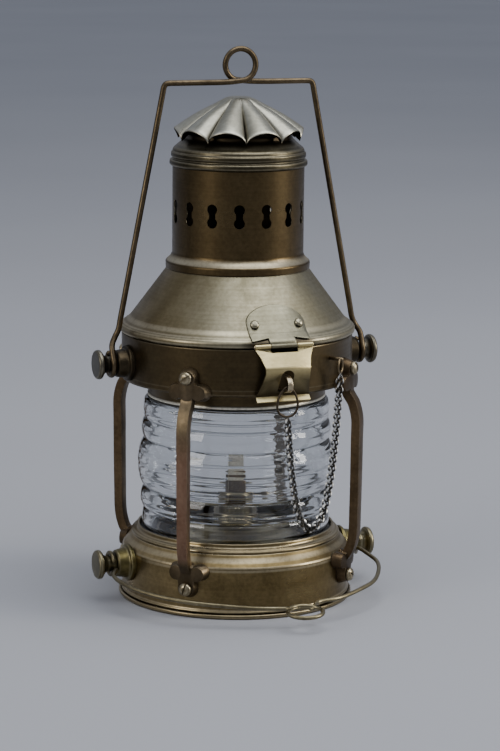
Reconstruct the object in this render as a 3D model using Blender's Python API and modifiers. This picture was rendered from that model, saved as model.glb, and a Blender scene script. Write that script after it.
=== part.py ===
"""Ship lantern: brass anchor light with a ribbed lens, hinged hood, hasp and two wire bails.

The frame is the lantern's own: origin at the middle of the base underside, +Z up, hasp at -Y,
bail pivots on the X axis. Outlines are read as (radius, height) or (across, height) pairs.
"""
import math

import bmesh
import bpy
from mathutils import Matrix, Vector

# General sizes in metres
GAP = 0.0003
OVERRUN = 0.0040
SHEET = 0.0010
TURN_STEPS = 24
SMALL_STEPS = 16

# Base
BAND_R = 0.0743
DRUM_STEP = 0.0008
BASE_FLANGE = 0.0025
BASE_BEAD_R = 0.0016
BASE_FLOOR = 0.0012
DRUM_SHOULDER_Z = 0.0310
DRUM_SHOULDER = 0.0073
DRUM_TOP_Z = 0.0402
DRUM_TOP_WIDTH = 0.0042
SHOULDER_ROUND = 0.0022

# Lens seat, gaskets and lens
SEAT_STEP = 0.0022
SEAT_WALL = 0.0016
SEAT_RIM = 0.0023
SEAT_FLOOR = 0.0012
SEAT_HEIGHT = 0.0055
SEAT_WIDTH = 0.0135
GASKET = 0.0010
LENS_STEP = 0.0002
RIB_DEPTH = 0.0049
LENS_WALL = 0.0034
LENS_HEIGHT = 0.0858
RIB_HEIGHT_SHARES = (0.158, 0.164, 0.371, 0.149, 0.158)
RIB_BULGE_SHARES = (0.47, 0.63, 1.0, 0.47, 0.26)
RIB_OUTLINE_SHARES = ((0.12, 0.72), (0.5, 1.0), (0.88, 0.72))

# Lens retainer and upper band
RETAINER_STEP = 0.0021
RETAINER_HEIGHT = 0.0112
RETAINER_LIP = 0.0060
BAND_HEIGHT = 0.0303
BAND_TOP_FLANGE = 0.0028
BAND_EDGE_ROUND = 0.0006

# Hood, chimney and cap
LIP_STEP = 0.0015
LIP_WIDTH = 0.0040
LIP_HEIGHT = 0.0042
CONE_FOOT_STEP = 0.0061
CONE_RISE = 0.0326
CONE_TOP_R = 0.0453
COVE_RISE = 0.0012
NECK_R = 0.0435
CHIMNEY_R = 0.0421
CHIMNEY_WALL = 0.0008
CHIMNEY_HEIGHT = 0.0633
COLLAR_BEAD_R = 0.0462
COLLAR_BEAD_HEIGHT = 0.0073
COLLAR_BEAD_SHARES = ((0.0, 1.0), (0.34, 0.72), (0.94, 0.44), (1.0, 0.34), (1.0, 0.0))
VENT_COUNT = 15
VENT_R = 0.0034
VENT_SPACING = 0.0084
VENT_WAIST = 0.0022
VENT_HEIGHT = 0.0352
VENT_TURN_DEG = -20.75
VENT_ARC_POINTS = 6
CAP_BEAD_R = 0.0441
CAP_HEIGHT = 0.0206
CAP_NECK_R = 0.0340
CAP_OUTER_SHARES = (
    (1.0, 0.0), (1.0, 0.10), (0.87, 0.19), (0.65, 0.39), (0.26, 0.51), (0.16, 0.63), (0.21, 0.73),
    (0.09, 0.785), (0.0, 0.885), (0.06, 0.965), (0.17, 1.0),
)
CAP_WALL = 0.0010
CROWN_R = 0.0414
CROWN_VALLEY_R = 0.0395
CROWN_FLAT_R = 0.0080
CROWN_KNEE_R = 0.0154
CROWN_KNEE_DROP = 0.0041
CROWN_ARCH_DROP = 0.0193
CROWN_VALLEY_DROP = 0.0264
CROWN_TOP_Z = 0.3225
CROWN_FLUTES = 10
CROWN_FLUTE_STEPS = 4
CROWN_TURN_DEG = -15.0
CROWN_SHEET = 0.0008
CROWN_BULGE_SHARE = 0.10
CROWN_ROW_SHARES = (0.36, 0.70, 1.0)

# Uprights
UPRIGHT_TURNS_DEG = {"front_left": 225, "front_right": 315, "rear_left": 135, "rear_right": 45}
BAR_WIDTH = 0.0076
BAR_LOW_WIDTH = 0.0062
BAR_DEPTH = 0.0057
BAR_OUT = 0.0122
BAR_LOW_OUT = 0.0121
BAR_END_INSET = 0.0034
BAR_ROOT = 0.0010
BAR_BEND_HEIGHT = 0.0190
BAR_BEND_SHARES = ((0.0, 0.0), (0.16, 0.16), (0.66, 0.46), (1.0, 1.0))
FOOT_THICK = 0.0055
FOOT_LOBE_R = 0.0063
FOOT_SIDE_LOBE_R = 0.0054
FOOT_SIDE = 0.0086
LOWER_FOOT_SIDE = 0.0078
FOOT_DRAFT_SHARE = 0.14
UPPER_SCREW_RISE = 0.0116
UPPER_LOBE_RISE = 0.0022
LOWER_SCREW_RISE = 0.0190
LOWER_LOBE_RISE = 0.0295
FOOT_POINTS = 20
SCREW_HEAD_R = 0.0043
SCREW_HEAD = 0.0030
SCREW_SHANK_R = 0.0019
SCREW_REACH = 0.0085
SCREW_SLOT = 0.0011
SCREW_SLOT_DEPTH = 0.0013
SCREW_STEPS = 10

# Pivot bosses, thumb knobs and bails
UPPER_PIVOT_Z = 0.1552
LOWER_PIVOT_Z = 0.0250
UPPER_BOSS_R = 0.0114
LOWER_BOSS_R = 0.0120
BOSS_TIP_R = 0.0078
BOSS_STEP = 0.0018
BOSS_REACH = 0.0092
STUD_R = 0.0050
TENON_R = 0.0030
TENON_LENGTH = 0.0075
KNOB_R = 0.0094
KNOB_NECK = 0.0055
KNOB_DISC = 0.0038
KNOB_REACH = 0.0130
EYE_R = 0.0071
EYE_TAIL_DEG = 335
EYE_START_DEG = 75
EYE_POINTS = 12
BAIL_WIRE_R = 0.0017
BAIL_EYE_OUT = 0.0026
BAIL_NECK = 0.0165
BAIL_LEG_LOW = (-0.0051, 0.0218)
BAIL_CORNER = (0.0505, 0.1766)
BAIL_CORNER_R = 0.0050
BAIL_RING_R = 0.0101
BAIL_RING_X = 0.0008
BAIL_RING_RISE = 0.1876
BAIL_SIDE_STEP = 0.00186
RING_POINTS = 20
HANDLE_WIRE_R = 0.00135
HANDLE_EYE_OUT = 0.0028
HANDLE_TILT_DEG = 7.0
HANDLE_LEFT_SHARES = (
    (1.015, 0.12), (1.06, 0.22), (1.045, 0.36), (0.98, 0.50), (0.86, 0.64), (0.69, 0.77), (0.49, 0.87),
    (0.28, 0.955), (0.07, 1.005),
)
HANDLE_RIGHT_SHARES = (
    (0.99, 0.12), (0.985, 0.24), (0.985, 0.38), (0.92, 0.53), (0.79, 0.70), (0.61, 0.82), (0.40, 0.92),
    (0.21, 0.955),
)
HANDLE_OUT = 0.0122
HANDLE_LOOP_HALF = (0.0112, 0.0092)
HANDLE_LOOP_X = 0.0040
HANDLE_LOOP_STEP = 0.0016
HANDLE_LOOP_POINTS = 16

# Hasp, rear hinge and their rivets
KNUCKLE_R = 0.00155
KNUCKLE_LENGTH = 0.0388
KNUCKLE_MIDDLE = 0.0174
KNUCKLE_RISE = 0.0018
PIN_R = 0.0007
PIN_BORE_R = 0.0010
LEAF_SHEET = 0.0010
LEAF_PLATE_RISE = 0.0048
LEAF_SHOULDER_RISE = 0.0165
LEAF_ARCH_RISE = 0.0243
LEAF_ARCH_POINTS = 9
RIVET_SPREAD = 0.0146
RIVET_RISE = 0.0100
RIVET_HEAD_R = 0.0027
RIVET_HEAD = 0.0017
RIVET_SHANK_R = 0.0012
RIVET_REACH = 0.0034
HASP_SHEET = 0.0011
HASP_KNEE = (0.0071, 0.0122)
HASP_BULGE = (0.0073, 0.0160)
HASP_BACK = (-0.0018, 0.0315)
HASP_TAB = (0.0006, 0.0347)
HASP_KNEE_WIDTH = 0.0296
HASP_TAB_WIDTH = 0.0355
HASP_HOLE_WIDTH = 0.0086
HASP_HOLE_TOP = 0.0141
HASP_HOLE_BOTTOM = 0.0295
HASP_HOLE_POINTS = 8
STAPLE_WIDTH = 0.0033
STAPLE_SHEET = 0.0011
STAPLE_TOP_RISE = 0.0168
STAPLE_HEIGHT = 0.0095
STAPLE_REACH = 0.0150
STAPLE_SHARES = ((0.0, 1.0), (0.62, 1.0), (0.90, 0.82), (1.0, 0.48), (0.90, 0.15), (0.62, 0.0), (0.0, 0.0))
STAPLE_ROOT = 0.0030
HINGE_PLATE_HEIGHT = 0.0150
HINGE_PLATE_DROP = 0.0040
HINGE_RIVET_DROP = 0.0125

# Lock ring and chain
LOCK_WIRE_R = 0.00065
LOCK_HALF = (0.0070, 0.0093)
LOCK_X = -0.0005
LOCK_SEAT_SHARE = 0.22
LOCK_OUT_SHARE = 0.76
LOCK_POINTS = 18
CHAIN_R = 0.0014
CHAIN_LENGTH = 0.1826
CHAIN_POINTS = 42
CHAIN_EYE_TURN_DEG = -59.5
CHAIN_EYE_RISE = 0.0160
CHAIN_EYE_OUT = 0.0036
CHAIN_EYE_R = 0.0040
CHAIN_EYE_WIRE_R = 0.0007
CHAIN_EYE_SHANK_R = 0.0012

# Oil font and burner
FONT_R = 0.0480
FONT_WALL_TOP_Z = 0.0310
FONT_NECK_R = 0.0120
FONT_TOP_Z = 0.0487
FONT_DOME_SHARES = ((0.0, 1.0), (0.0, 0.86), (0.30, 0.66), (0.62, 0.44), (0.88, 0.20), (1.0, 0.0))
FONT_MOUTH_R = 0.0085
COLLAR_R = 0.0150
COLLAR_DEPTH = 0.0025
COLLAR_PLATE = 0.0012
BURNER_R = 0.0110
BURNER_BORE_R = 0.0092
BURNER_HEIGHT = 0.0140
BURNER_TOP = 0.0012
DISC_R = 0.0118
DISC_THICK = 0.0012
TUBE_WIDTH = 0.0124
TUBE_DEPTH = 0.0048
TUBE_WALL = 0.0006
TUBE_HEIGHT = 0.0102
WICK_WIDTH = 0.0104
WICK_DEPTH = 0.0026
WICK_BOTTOM_Z = 0.0150
WICK_SHOW = 0.0090
SPINDLE_R = 0.0009
ROLLER_R = 0.0028
ROLLER_LENGTH = 0.0070
SPINDLE_RISE = 0.0070
SPINDLE_REACH = 0.0240
THUMB_R = 0.0056
THUMB_THICK = 0.0022

# Radii and places across that follow from the band's radius
DRUM_R = BAND_R - DRUM_STEP
BASE_R = DRUM_R + BASE_FLANGE
DRUM_TOP_R = DRUM_R - DRUM_SHOULDER
DRUM_INNER_R = DRUM_TOP_R - DRUM_TOP_WIDTH
SEAT_R = DRUM_TOP_R - SEAT_STEP
SEAT_INNER_R = SEAT_R - SEAT_WIDTH
LENS_R = SEAT_R - LENS_STEP
LENS_GROOVE_R = LENS_R - RIB_DEPTH
LENS_BORE_R = LENS_GROOVE_R - LENS_WALL
RETAINER_R = LENS_BORE_R + RETAINER_STEP
LIP_R = BAND_R + LIP_STEP
CONE_FOOT_R = LIP_R - CONE_FOOT_STEP
BAR_R = BAND_R + BAR_OUT
BAR_LOW_R = DRUM_R + BAR_LOW_OUT
BOSS_FACE_X = BAND_R + BOSS_REACH
KNOB_CONE_X = BOSS_FACE_X + KNOB_NECK
KNOB_FACE_X = BOSS_FACE_X + KNOB_REACH
BAIL_EYE_X = BOSS_FACE_X + BAIL_EYE_OUT
HANDLE_EYE_X = BOSS_FACE_X + HANDLE_EYE_OUT
HANDLE_REACH = HANDLE_EYE_X + HANDLE_OUT

# Heights that follow from the sizes above
SEAT_Z = DRUM_TOP_Z + GAP
SEAT_TRACK_Z = SEAT_Z + SEAT_FLOOR
LENS_Z = SEAT_TRACK_Z + GAP + GASKET + GAP
LENS_TOP_Z = LENS_Z + LENS_HEIGHT
RETAINER_Z = LENS_TOP_Z + GAP + GASKET + GAP
BAND_Z = RETAINER_Z + RETAINER_HEIGHT + GAP
BAND_TOP_Z = BAND_Z + BAND_HEIGHT
LIP_Z = BAND_TOP_Z + GAP
CONE_FOOT_Z = LIP_Z + 2 * LIP_HEIGHT
CONE_TOP_Z = CONE_FOOT_Z + CONE_RISE
NECK_TOP_Z = CONE_TOP_Z + COVE_RISE
CHIMNEY_Z = NECK_TOP_Z + GAP
CHIMNEY_TOP_Z = CHIMNEY_Z + CHIMNEY_HEIGHT
CAP_Z = CHIMNEY_TOP_Z + GAP
CAP_TOP_Z = CAP_Z + CAP_HEIGHT
FOOT_R = BAND_R + GAP
LOWER_FOOT_R = DRUM_R + GAP
KNUCKLE_Y = LIP_R + GAP + KNUCKLE_R
KNUCKLE_Z = LIP_Z + KNUCKLE_RISE
CONE_LENGTH = math.hypot(CONE_FOOT_R - CONE_TOP_R, CONE_RISE)
CONE_DOWN = Vector((CONE_FOOT_R - CONE_TOP_R, -CONE_RISE)) / CONE_LENGTH
CONE_OUT = Vector((CONE_RISE, CONE_FOOT_R - CONE_TOP_R)) / CONE_LENGTH

BRASS = (0.23, 0.15, 0.065, 1.0)
DARK_BRASS = (0.13, 0.085, 0.04, 1.0)
PALE_BRASS = (0.42, 0.40, 0.30, 1.0)
WORN_BRASS = (0.50, 0.38, 0.22, 1.0)
GLASS = (0.86, 0.90, 0.93, 1.0)
RUBBER = (0.03, 0.03, 0.03, 1.0)
COTTON = (0.80, 0.76, 0.66, 1.0)


def clear_scene():
    for item in list(bpy.data.objects):
        bpy.data.objects.remove(item, do_unlink=True)


def new_collection(name):
    group = bpy.data.collections.new(name)
    bpy.context.scene.collection.children.link(group)
    return group


clear_scene()
PARTS = new_collection("ship_lantern")
CUTTERS = new_collection("cutters")


def material(name, colour, metallic, roughness):
    finish = bpy.data.materials.new(name)
    finish.use_nodes = True
    finish.diffuse_color = colour
    shader = finish.node_tree.nodes["Principled BSDF"]
    shader.inputs["Base Color"].default_value = colour
    shader.inputs["Metallic"].default_value = metallic
    shader.inputs["Roughness"].default_value = roughness
    return finish


def dress(item, colour, metallic=1.0, roughness=0.4):
    """Give the piece its own material."""
    item.data.materials.clear()
    item.data.materials.append(material(item.name + "_finish", colour, metallic, roughness))
    return item


def pivot(name, place):
    """An empty on a joint's axis, which carries the pieces that turn there."""
    empty = bpy.data.objects.new(name, None)
    empty.location = place
    PARTS.objects.link(empty)
    return empty


def ride(item, empty):
    """Parent a piece, modelled in the lantern's frame, to a pivot without moving it."""
    item.parent = empty
    item.location = item.location - empty.location
    return item


def smooth(mesh):
    mesh.shade_smooth()
    mesh.set_sharp_from_angle(angle=math.radians(35))


def mesh_object(name, mesh):
    item = bpy.data.objects.new(name, mesh)
    PARTS.objects.link(item)
    return item


def evaluated_mesh(item):
    """The piece's finished mesh, welded, in its own frame."""
    bpy.context.view_layer.update()
    graph = bpy.context.evaluated_depsgraph_get()
    mesh = bpy.data.meshes.new_from_object(item.evaluated_get(graph))
    work = bmesh.new()
    work.from_mesh(mesh)
    bmesh.ops.remove_doubles(work, verts=work.verts, dist=GAP / 100)
    work.to_mesh(mesh)
    work.free()
    return mesh


def replace_by_mesh(item):
    """Turn a curve or a piece with modifiers into a plain mesh object of the same name."""
    mesh = evaluated_mesh(item)
    name = item.name
    place = item.matrix_world.copy()
    bpy.data.objects.remove(item, do_unlink=True)
    solid = mesh_object(name, mesh)
    solid.matrix_world = place
    return solid


def arc(centre, radius, start_deg, end_deg, count):
    """Points along a circle, both ends included, as (across, height)."""
    points = []
    for step in range(count):
        turn = math.radians(start_deg + (end_deg - start_deg) * step / (count - 1))
        points.append((centre[0] + radius * math.cos(turn), centre[1] + radius * math.sin(turn)))
    return points


def turned(name, outline, ring, steps=TURN_STEPS):
    """A turned piece. A ring's outline is closed, any other starts and ends on the axis."""
    mesh = bpy.data.meshes.new(name)
    work = bmesh.new()
    verts = [work.verts.new((radius, 0, height)) for radius, height in outline]
    for first, second in zip(verts, verts[1:]):
        work.edges.new((first, second))
    if ring:
        work.edges.new((verts[-1], verts[0]))
    work.to_mesh(mesh)
    work.free()
    item = mesh_object(name, mesh)
    screw = item.modifiers.new("turn", "SCREW")
    screw.angle = math.radians(360)
    screw.steps = steps
    screw.render_steps = steps
    screw.use_merge_vertices = True
    screw.merge_threshold = GAP / 100
    screw.use_smooth_shade = True
    return item


def flat(name, outline, thickness, to_frame):
    """A flat outline with a thickness, brought into the lantern's frame as a closed mesh."""
    curve = bpy.data.curves.new(name, "CURVE")
    curve.dimensions = "2D"
    curve.fill_mode = "BOTH"
    curve.extrude = thickness / 2
    line = curve.splines.new("POLY")
    line.points.add(len(outline) - 1)
    for point, (across, height) in zip(line.points, outline):
        point.co = (across, height, 0, 1)
    line.use_cyclic_u = True
    item = bpy.data.objects.new(name, curve)
    PARTS.objects.link(item)
    solid = replace_by_mesh(item)
    solid.data.transform(to_frame)
    return solid


def wire(name, points, radius, closed=False):
    """A bent wire along the points, with filled ends."""
    curve = bpy.data.curves.new(name, "CURVE")
    curve.dimensions = "3D"
    curve.bevel_depth = radius
    curve.bevel_resolution = 2
    curve.use_fill_caps = not closed
    line = curve.splines.new("POLY")
    line.points.add(len(points) - 1)
    for point, place in zip(line.points, points):
        point.co = (place[0], place[1], place[2], 1)
    line.use_cyclic_u = closed
    line.use_smooth = True
    item = bpy.data.objects.new(name, curve)
    PARTS.objects.link(item)
    return item


def rod(name, radius, start, end, steps=SMALL_STEPS):
    """A round rod between two places."""
    start, end = Vector(start), Vector(end)
    along = end - start
    mesh = bpy.data.meshes.new(name)
    work = bmesh.new()
    bmesh.ops.create_cone(
        work, cap_ends=True, segments=steps, radius1=radius, radius2=radius, depth=along.length)
    work.to_mesh(mesh)
    work.free()
    turn = along.to_track_quat("Z", "X").to_matrix().to_4x4()
    mesh.transform(Matrix.Translation((start + end) / 2) @ turn)
    smooth(mesh)
    return mesh_object(name, mesh)


def box(name, low, high):
    mesh = bpy.data.meshes.new(name)
    work = bmesh.new()
    bmesh.ops.create_cube(work, size=1)
    size = [far - near for near, far in zip(low, high)]
    middle = [(far + near) / 2 for near, far in zip(low, high)]
    bmesh.ops.scale(work, vec=size, verts=work.verts)
    bmesh.ops.translate(work, vec=middle, verts=work.verts)
    work.to_mesh(mesh)
    work.free()
    return mesh_object(name, mesh)


def drum_solid(name, radius, low, high):
    """A round block with the same facets as the turned pieces."""
    return rod(name, radius, (0, 0, low), (0, 0, high), TURN_STEPS)


def combine(target, other, operation):
    """Cut, join or intersect with another solid, which moves to the cutters."""
    modifier = target.modifiers.new(other.name, "BOOLEAN")
    modifier.operation = operation
    modifier.solver = "EXACT"
    modifier.object = other
    if other.name not in CUTTERS.objects:
        PARTS.objects.unlink(other)
        CUTTERS.objects.link(other)
        other.hide_render = True
        other.display_type = "WIRE"
    return target


def copies(name, mesh, places):
    """One object that holds a separate copy of the mesh at each place."""
    joined = bpy.data.meshes.new(name)
    work = bmesh.new()
    for place in places:
        piece = mesh.copy()
        piece.transform(place)
        work.from_mesh(piece)
        bpy.data.meshes.remove(piece)
    work.to_mesh(joined)
    work.free()
    return mesh_object(name, joined)


def axes(across, up, out):
    """A matrix that sends local X, Y and Z to the three directions."""
    matrix = Matrix((across, up, out)).transposed()
    return matrix.to_4x4()


SIDE_VIEW = axes((0, 1, 0), (0, 0, 1), (1, 0, 0))
FRONT_VIEW = axes((1, 0, 0), (0, 0, 1), (0, -1, 0))


def base():
    bead = (BASE_R - BASE_BEAD_R, BASE_BEAD_R)
    inner_deg = 180 + math.degrees(math.asin((BASE_BEAD_R - BASE_FLOOR) / BASE_BEAD_R))
    outline = [(0, BASE_FLOOR)] + arc(bead, BASE_BEAD_R, inner_deg, -90, 9) + [(0, 0)]
    dress(turned("base_plate", outline, ring=False), BRASS)

    foot = 2 * BASE_BEAD_R + GAP
    low, side = DRUM_SHOULDER_Z, SHOULDER_ROUND
    outer = [
        (DRUM_INNER_R, DRUM_TOP_Z), (DRUM_TOP_R, DRUM_TOP_Z),
        (DRUM_TOP_R + side / 2, DRUM_TOP_Z - side / 2), (DRUM_R - 3 * side / 4, low + 3 * side / 2),
        (DRUM_R - side / 4, low + 4 * side / 5), (DRUM_R, low), (DRUM_R, foot),
    ]
    inner = [
        (DRUM_R - SHEET, foot), (DRUM_R - SHEET, low), (DRUM_R - SHEET - side, low + side),
        (DRUM_TOP_R - SHEET, DRUM_TOP_Z - SHEET), (DRUM_INNER_R, DRUM_TOP_Z - SHEET),
    ]
    drum = dress(turned("base_drum", outer + inner, ring=True), BRASS)
    for turn in UPRIGHT_TURNS_DEG.values():
        combine(drum, screw_hole("drum_screw_hole", LOWER_FOOT_R, LOWER_SCREW_RISE, turn), "DIFFERENCE")
    for side in (-1, 1):
        combine(drum, tenon_hole("drum_tenon_hole", side, LOWER_PIVOT_Z), "DIFFERENCE")


def lens_seat():
    rim = SEAT_R + SEAT_RIM
    wall = SEAT_R - SEAT_WALL
    top = SEAT_Z + SEAT_HEIGHT
    outline = [
        (SEAT_R, top), (SEAT_R, SEAT_Z + SEAT_RIM), (rim, SEAT_Z + SHEET), (rim, SEAT_Z),
        (SEAT_INNER_R, SEAT_Z), (SEAT_INNER_R, SEAT_TRACK_Z), (wall, SEAT_TRACK_Z), (wall, top),
    ]
    dress(turned("lens_seat_ring", outline, ring=True), BRASS)
    gasket("lens_gasket_lower", wall - GAP, SEAT_TRACK_Z + GAP)
    gasket("lens_gasket_upper", RETAINER_R, LENS_TOP_Z + GAP)


def gasket(name, radius, height):
    inner = SEAT_INNER_R + SEAT_WALL
    outline = [(radius, height + GASKET), (radius, height), (inner, height), (inner, height + GASKET)]
    dress(turned(name, outline, ring=True), RUBBER, metallic=0.0, roughness=0.8)


def lens():
    """Clear lens with a tall middle belt and two bull-nosed ribs above and below it."""
    bulge = LENS_R - LENS_GROOVE_R
    outline = [(LENS_GROOVE_R, LENS_TOP_Z)]
    top = LENS_TOP_Z
    for height_share, bulge_share in zip(RIB_HEIGHT_SHARES, RIB_BULGE_SHARES):
        height = height_share * LENS_HEIGHT
        for down, out in RIB_OUTLINE_SHARES:
            outline.append((LENS_GROOVE_R + bulge * bulge_share * out, top - height * down))
        top -= height
        outline.append((LENS_GROOVE_R, max(top, LENS_Z)))
    outline += [(LENS_BORE_R, LENS_Z), (LENS_BORE_R, LENS_TOP_Z)]
    dress(turned("lens_glass", outline, ring=True), GLASS, metallic=0.0, roughness=0.05)


def band():
    wall = RETAINER_R - SHEET
    lip = RETAINER_R - RETAINER_LIP
    top = RETAINER_Z + RETAINER_HEIGHT
    outline = [
        (RETAINER_R, top), (RETAINER_R, RETAINER_Z), (lip, RETAINER_Z), (lip, RETAINER_Z + SHEET),
        (wall, RETAINER_Z + SHEET), (wall, top),
    ]
    dress(turned("lens_retainer_ring", outline, ring=True), BRASS)

    edge = BAND_EDGE_ROUND
    flange = BAND_R - BAND_TOP_FLANGE
    outline = [
        (flange, BAND_TOP_Z), (BAND_R - edge, BAND_TOP_Z), (BAND_R, BAND_TOP_Z - edge),
        (BAND_R, BAND_Z + edge), (BAND_R - edge, BAND_Z), (LENS_BORE_R, BAND_Z),
        (LENS_BORE_R, BAND_Z + SHEET),
        (BAND_R - SHEET, BAND_Z + SHEET), (BAND_R - SHEET, BAND_TOP_Z - SHEET), (flange, BAND_TOP_Z - SHEET),
    ]
    ring = dress(turned("upper_band", outline, ring=True), BRASS)
    for turn in UPRIGHT_TURNS_DEG.values():
        combine(ring, screw_hole("band_screw_hole", FOOT_R, BAND_Z + UPPER_SCREW_RISE, turn), "DIFFERENCE")
    for side in (-1, 1):
        combine(ring, tenon_hole("band_tenon_hole", side, UPPER_PIVOT_Z), "DIFFERENCE")
    return ring


def out_from(radius, height, turn_deg):
    """The place at a radius and height on the side that faces the given way."""
    turn = math.radians(turn_deg)
    return Vector((radius * math.cos(turn), radius * math.sin(turn), height))


def screw_hole(name, radius, height, turn_deg):
    start = out_from(radius - OVERRUN, height, turn_deg)
    end = out_from(radius + FOOT_THICK + OVERRUN, height, turn_deg)
    return rod(name, SCREW_SHANK_R + GAP, start, end, SMALL_STEPS)


def tenon_hole(name, side, height):
    start = (side * (BOSS_FACE_X - TENON_LENGTH - OVERRUN - GAP), 0, height)
    end = (side * (BOSS_FACE_X + OVERRUN), 0, height)
    return rod(name, TENON_R + GAP, start, end)


def lobed(lobes, centre, count):
    """The outline round several circles, seen from a centre that lies inside them all."""
    outline = []
    for step in range(count):
        turn = math.tau * step / count
        ray = Vector((math.cos(turn), math.sin(turn)))
        reach = 0
        for across, height, radius in lobes:
            to_lobe = Vector((across - centre[0], height - centre[1]))
            along = to_lobe.dot(ray)
            inside = radius ** 2 - to_lobe.length_squared + along ** 2
            if inside > 0:
                reach = max(reach, along + math.sqrt(inside))
        outline.append((centre[0] + reach * ray.x, centre[1] + reach * ray.y))
    return outline


def foot(name, radius, screw_z, lobe_z, aside):
    """A three-lobed foot with drafted sides that follows the round wall behind it. Outward is +X here."""
    lobes = [(0, screw_z, FOOT_LOBE_R), (0, lobe_z, FOOT_LOBE_R), (0, (screw_z + lobe_z) / 2, FOOT_LOBE_R)]
    lobes += [(side * aside, lobe_z, FOOT_SIDE_LOBE_R) for side in (-1, 1)]
    middle = (screw_z + 2 * lobe_z) / 3
    outline = lobed(lobes, (0, middle), FOOT_POINTS)
    depth = FOOT_THICK + 2 * OVERRUN
    plate = flat(name, outline, depth, Matrix.Translation((radius + FOOT_THICK / 2, 0, 0)) @ SIDE_VIEW)
    for vertex in plate.data.vertices:
        share = 1 - FOOT_DRAFT_SHARE * (vertex.co.x - radius) / FOOT_THICK
        vertex.co.y *= share
        vertex.co.z = middle + (vertex.co.z - middle) * share
    low = min(height for across, height in outline) - OVERRUN
    high = max(height for across, height in outline) + OVERRUN
    combine(plate, drum_solid(name + "_outside", radius + FOOT_THICK, low, high), "INTERSECT")
    combine(plate, drum_solid(name + "_wall", radius, low - OVERRUN, high + OVERRUN), "DIFFERENCE")
    return plate


def bar_outline():
    """The bar's side view: it bows out past the lens and returns to each foot."""
    upper_root = FOOT_R + FOOT_THICK - BAR_ROOT
    lower_root = LOWER_FOOT_R + FOOT_THICK - BAR_ROOT
    high = BAND_Z + UPPER_LOBE_RISE + BAR_END_INSET
    low = LOWER_LOBE_RISE - BAR_END_INSET
    outer = []
    for out, down in BAR_BEND_SHARES:
        outer.append((upper_root + out * (BAR_R - upper_root), high - down * BAR_BEND_HEIGHT))
    for out, down in reversed(BAR_BEND_SHARES):
        outer.append((lower_root + out * (BAR_LOW_R - lower_root), low + down * BAR_BEND_HEIGHT))
    return outer + moved_out(outer, -BAR_DEPTH)[1:-1][::-1]


def uprights():
    """Four cast bars, each with a foot on the band and one on the drum."""
    bar = flat("upright_bar", bar_outline(), BAR_WIDTH, FRONT_VIEW)
    high, low = BAND_Z, LOWER_LOBE_RISE
    for vertex in bar.data.vertices:
        share = (vertex.co.z - low) / (high - low)
        vertex.co.y *= (BAR_LOW_WIDTH + (BAR_WIDTH - BAR_LOW_WIDTH) * share) / BAR_WIDTH
    upper = foot("upper_foot", FOOT_R, BAND_Z + UPPER_SCREW_RISE, BAND_Z + UPPER_LOBE_RISE, FOOT_SIDE)
    lower = foot("lower_foot", LOWER_FOOT_R, LOWER_SCREW_RISE, LOWER_LOBE_RISE, LOWER_FOOT_SIDE)
    combine(bar, upper, "UNION")
    combine(bar, lower, "UNION")
    combine(bar, screw_hole("upper_foot_hole", FOOT_R, BAND_Z + UPPER_SCREW_RISE, 0), "DIFFERENCE")
    combine(bar, screw_hole("lower_foot_hole", LOWER_FOOT_R, LOWER_SCREW_RISE, 0), "DIFFERENCE")
    mesh = evaluated_mesh(bar)
    smooth(mesh)
    bpy.data.objects.remove(bar, do_unlink=True)
    for name, turn in UPRIGHT_TURNS_DEG.items():
        item = mesh_object("upright_" + name, mesh.copy())
        item.rotation_euler.z = math.radians(turn)
        dress(item, DARK_BRASS)


def screw_mesh():
    """A slotted pan head screw. Its head stands on +Z, with the underside at zero."""
    outline = [
        (0, SCREW_HEAD), (SCREW_HEAD_R * 0.75, SCREW_HEAD * 0.78), (SCREW_HEAD_R, SCREW_HEAD * 0.3),
        (SCREW_HEAD_R, 0), (SCREW_SHANK_R, 0), (SCREW_SHANK_R, -SCREW_REACH),
        (0, -SCREW_REACH),
    ]
    item = turned("screw", outline, ring=False, steps=SCREW_STEPS)
    half = SCREW_SLOT / 2
    reach = SCREW_HEAD_R + GAP
    slot = box("screw_slot", (-reach, -half, SCREW_HEAD - SCREW_SLOT_DEPTH), (reach, half, 2 * SCREW_HEAD))
    combine(item, slot, "DIFFERENCE")
    mesh = evaluated_mesh(item)
    bpy.data.objects.remove(item, do_unlink=True)
    return mesh


def facing(place, direction):
    """A placement whose +Z points along the direction."""
    return Matrix.Translation(place) @ Vector(direction).to_track_quat("Z", "Y").to_matrix().to_4x4()


def placed(name, mesh, place):
    """A piece that has its own copy of a repeated mesh, at its own place."""
    item = mesh_object(name, mesh.copy())
    item.matrix_world = place
    return item


def upright_screws():
    mesh = screw_mesh()
    places = []
    for turn in UPRIGHT_TURNS_DEG.values():
        for radius, height in ((FOOT_R, BAND_Z + UPPER_SCREW_RISE), (LOWER_FOOT_R, LOWER_SCREW_RISE)):
            place = out_from(radius + FOOT_THICK + GAP, height, turn)
            places.append(facing(place, out_from(1, 0, turn)))
    for number, place in enumerate(places):
        dress(placed("upright_screw_%d" % (number + 1), mesh, place), WORN_BRASS)


def boss(name, side, height, radius, wall):
    """A conical boss on the round wall, bored for the knob's tenon."""
    start = wall - OVERRUN
    outline = [
        (0, BOSS_FACE_X), (BOSS_TIP_R, BOSS_FACE_X), (radius - BOSS_STEP, wall + BOSS_STEP),
        (radius, wall + BOSS_STEP), (radius, start), (0, start),
    ]
    item = turned(name, outline, ring=False, steps=SMALL_STEPS)
    item.rotation_euler.y = math.radians(90 * side)
    item.location.z = height
    low, high = height - 2 * radius, height + 2 * radius
    combine(item, drum_solid(name + "_wall", wall + GAP, low, high), "DIFFERENCE")
    combine(item, tenon_hole(name + "_bore", side, height), "DIFFERENCE")
    return dress(item, BRASS)


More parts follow.
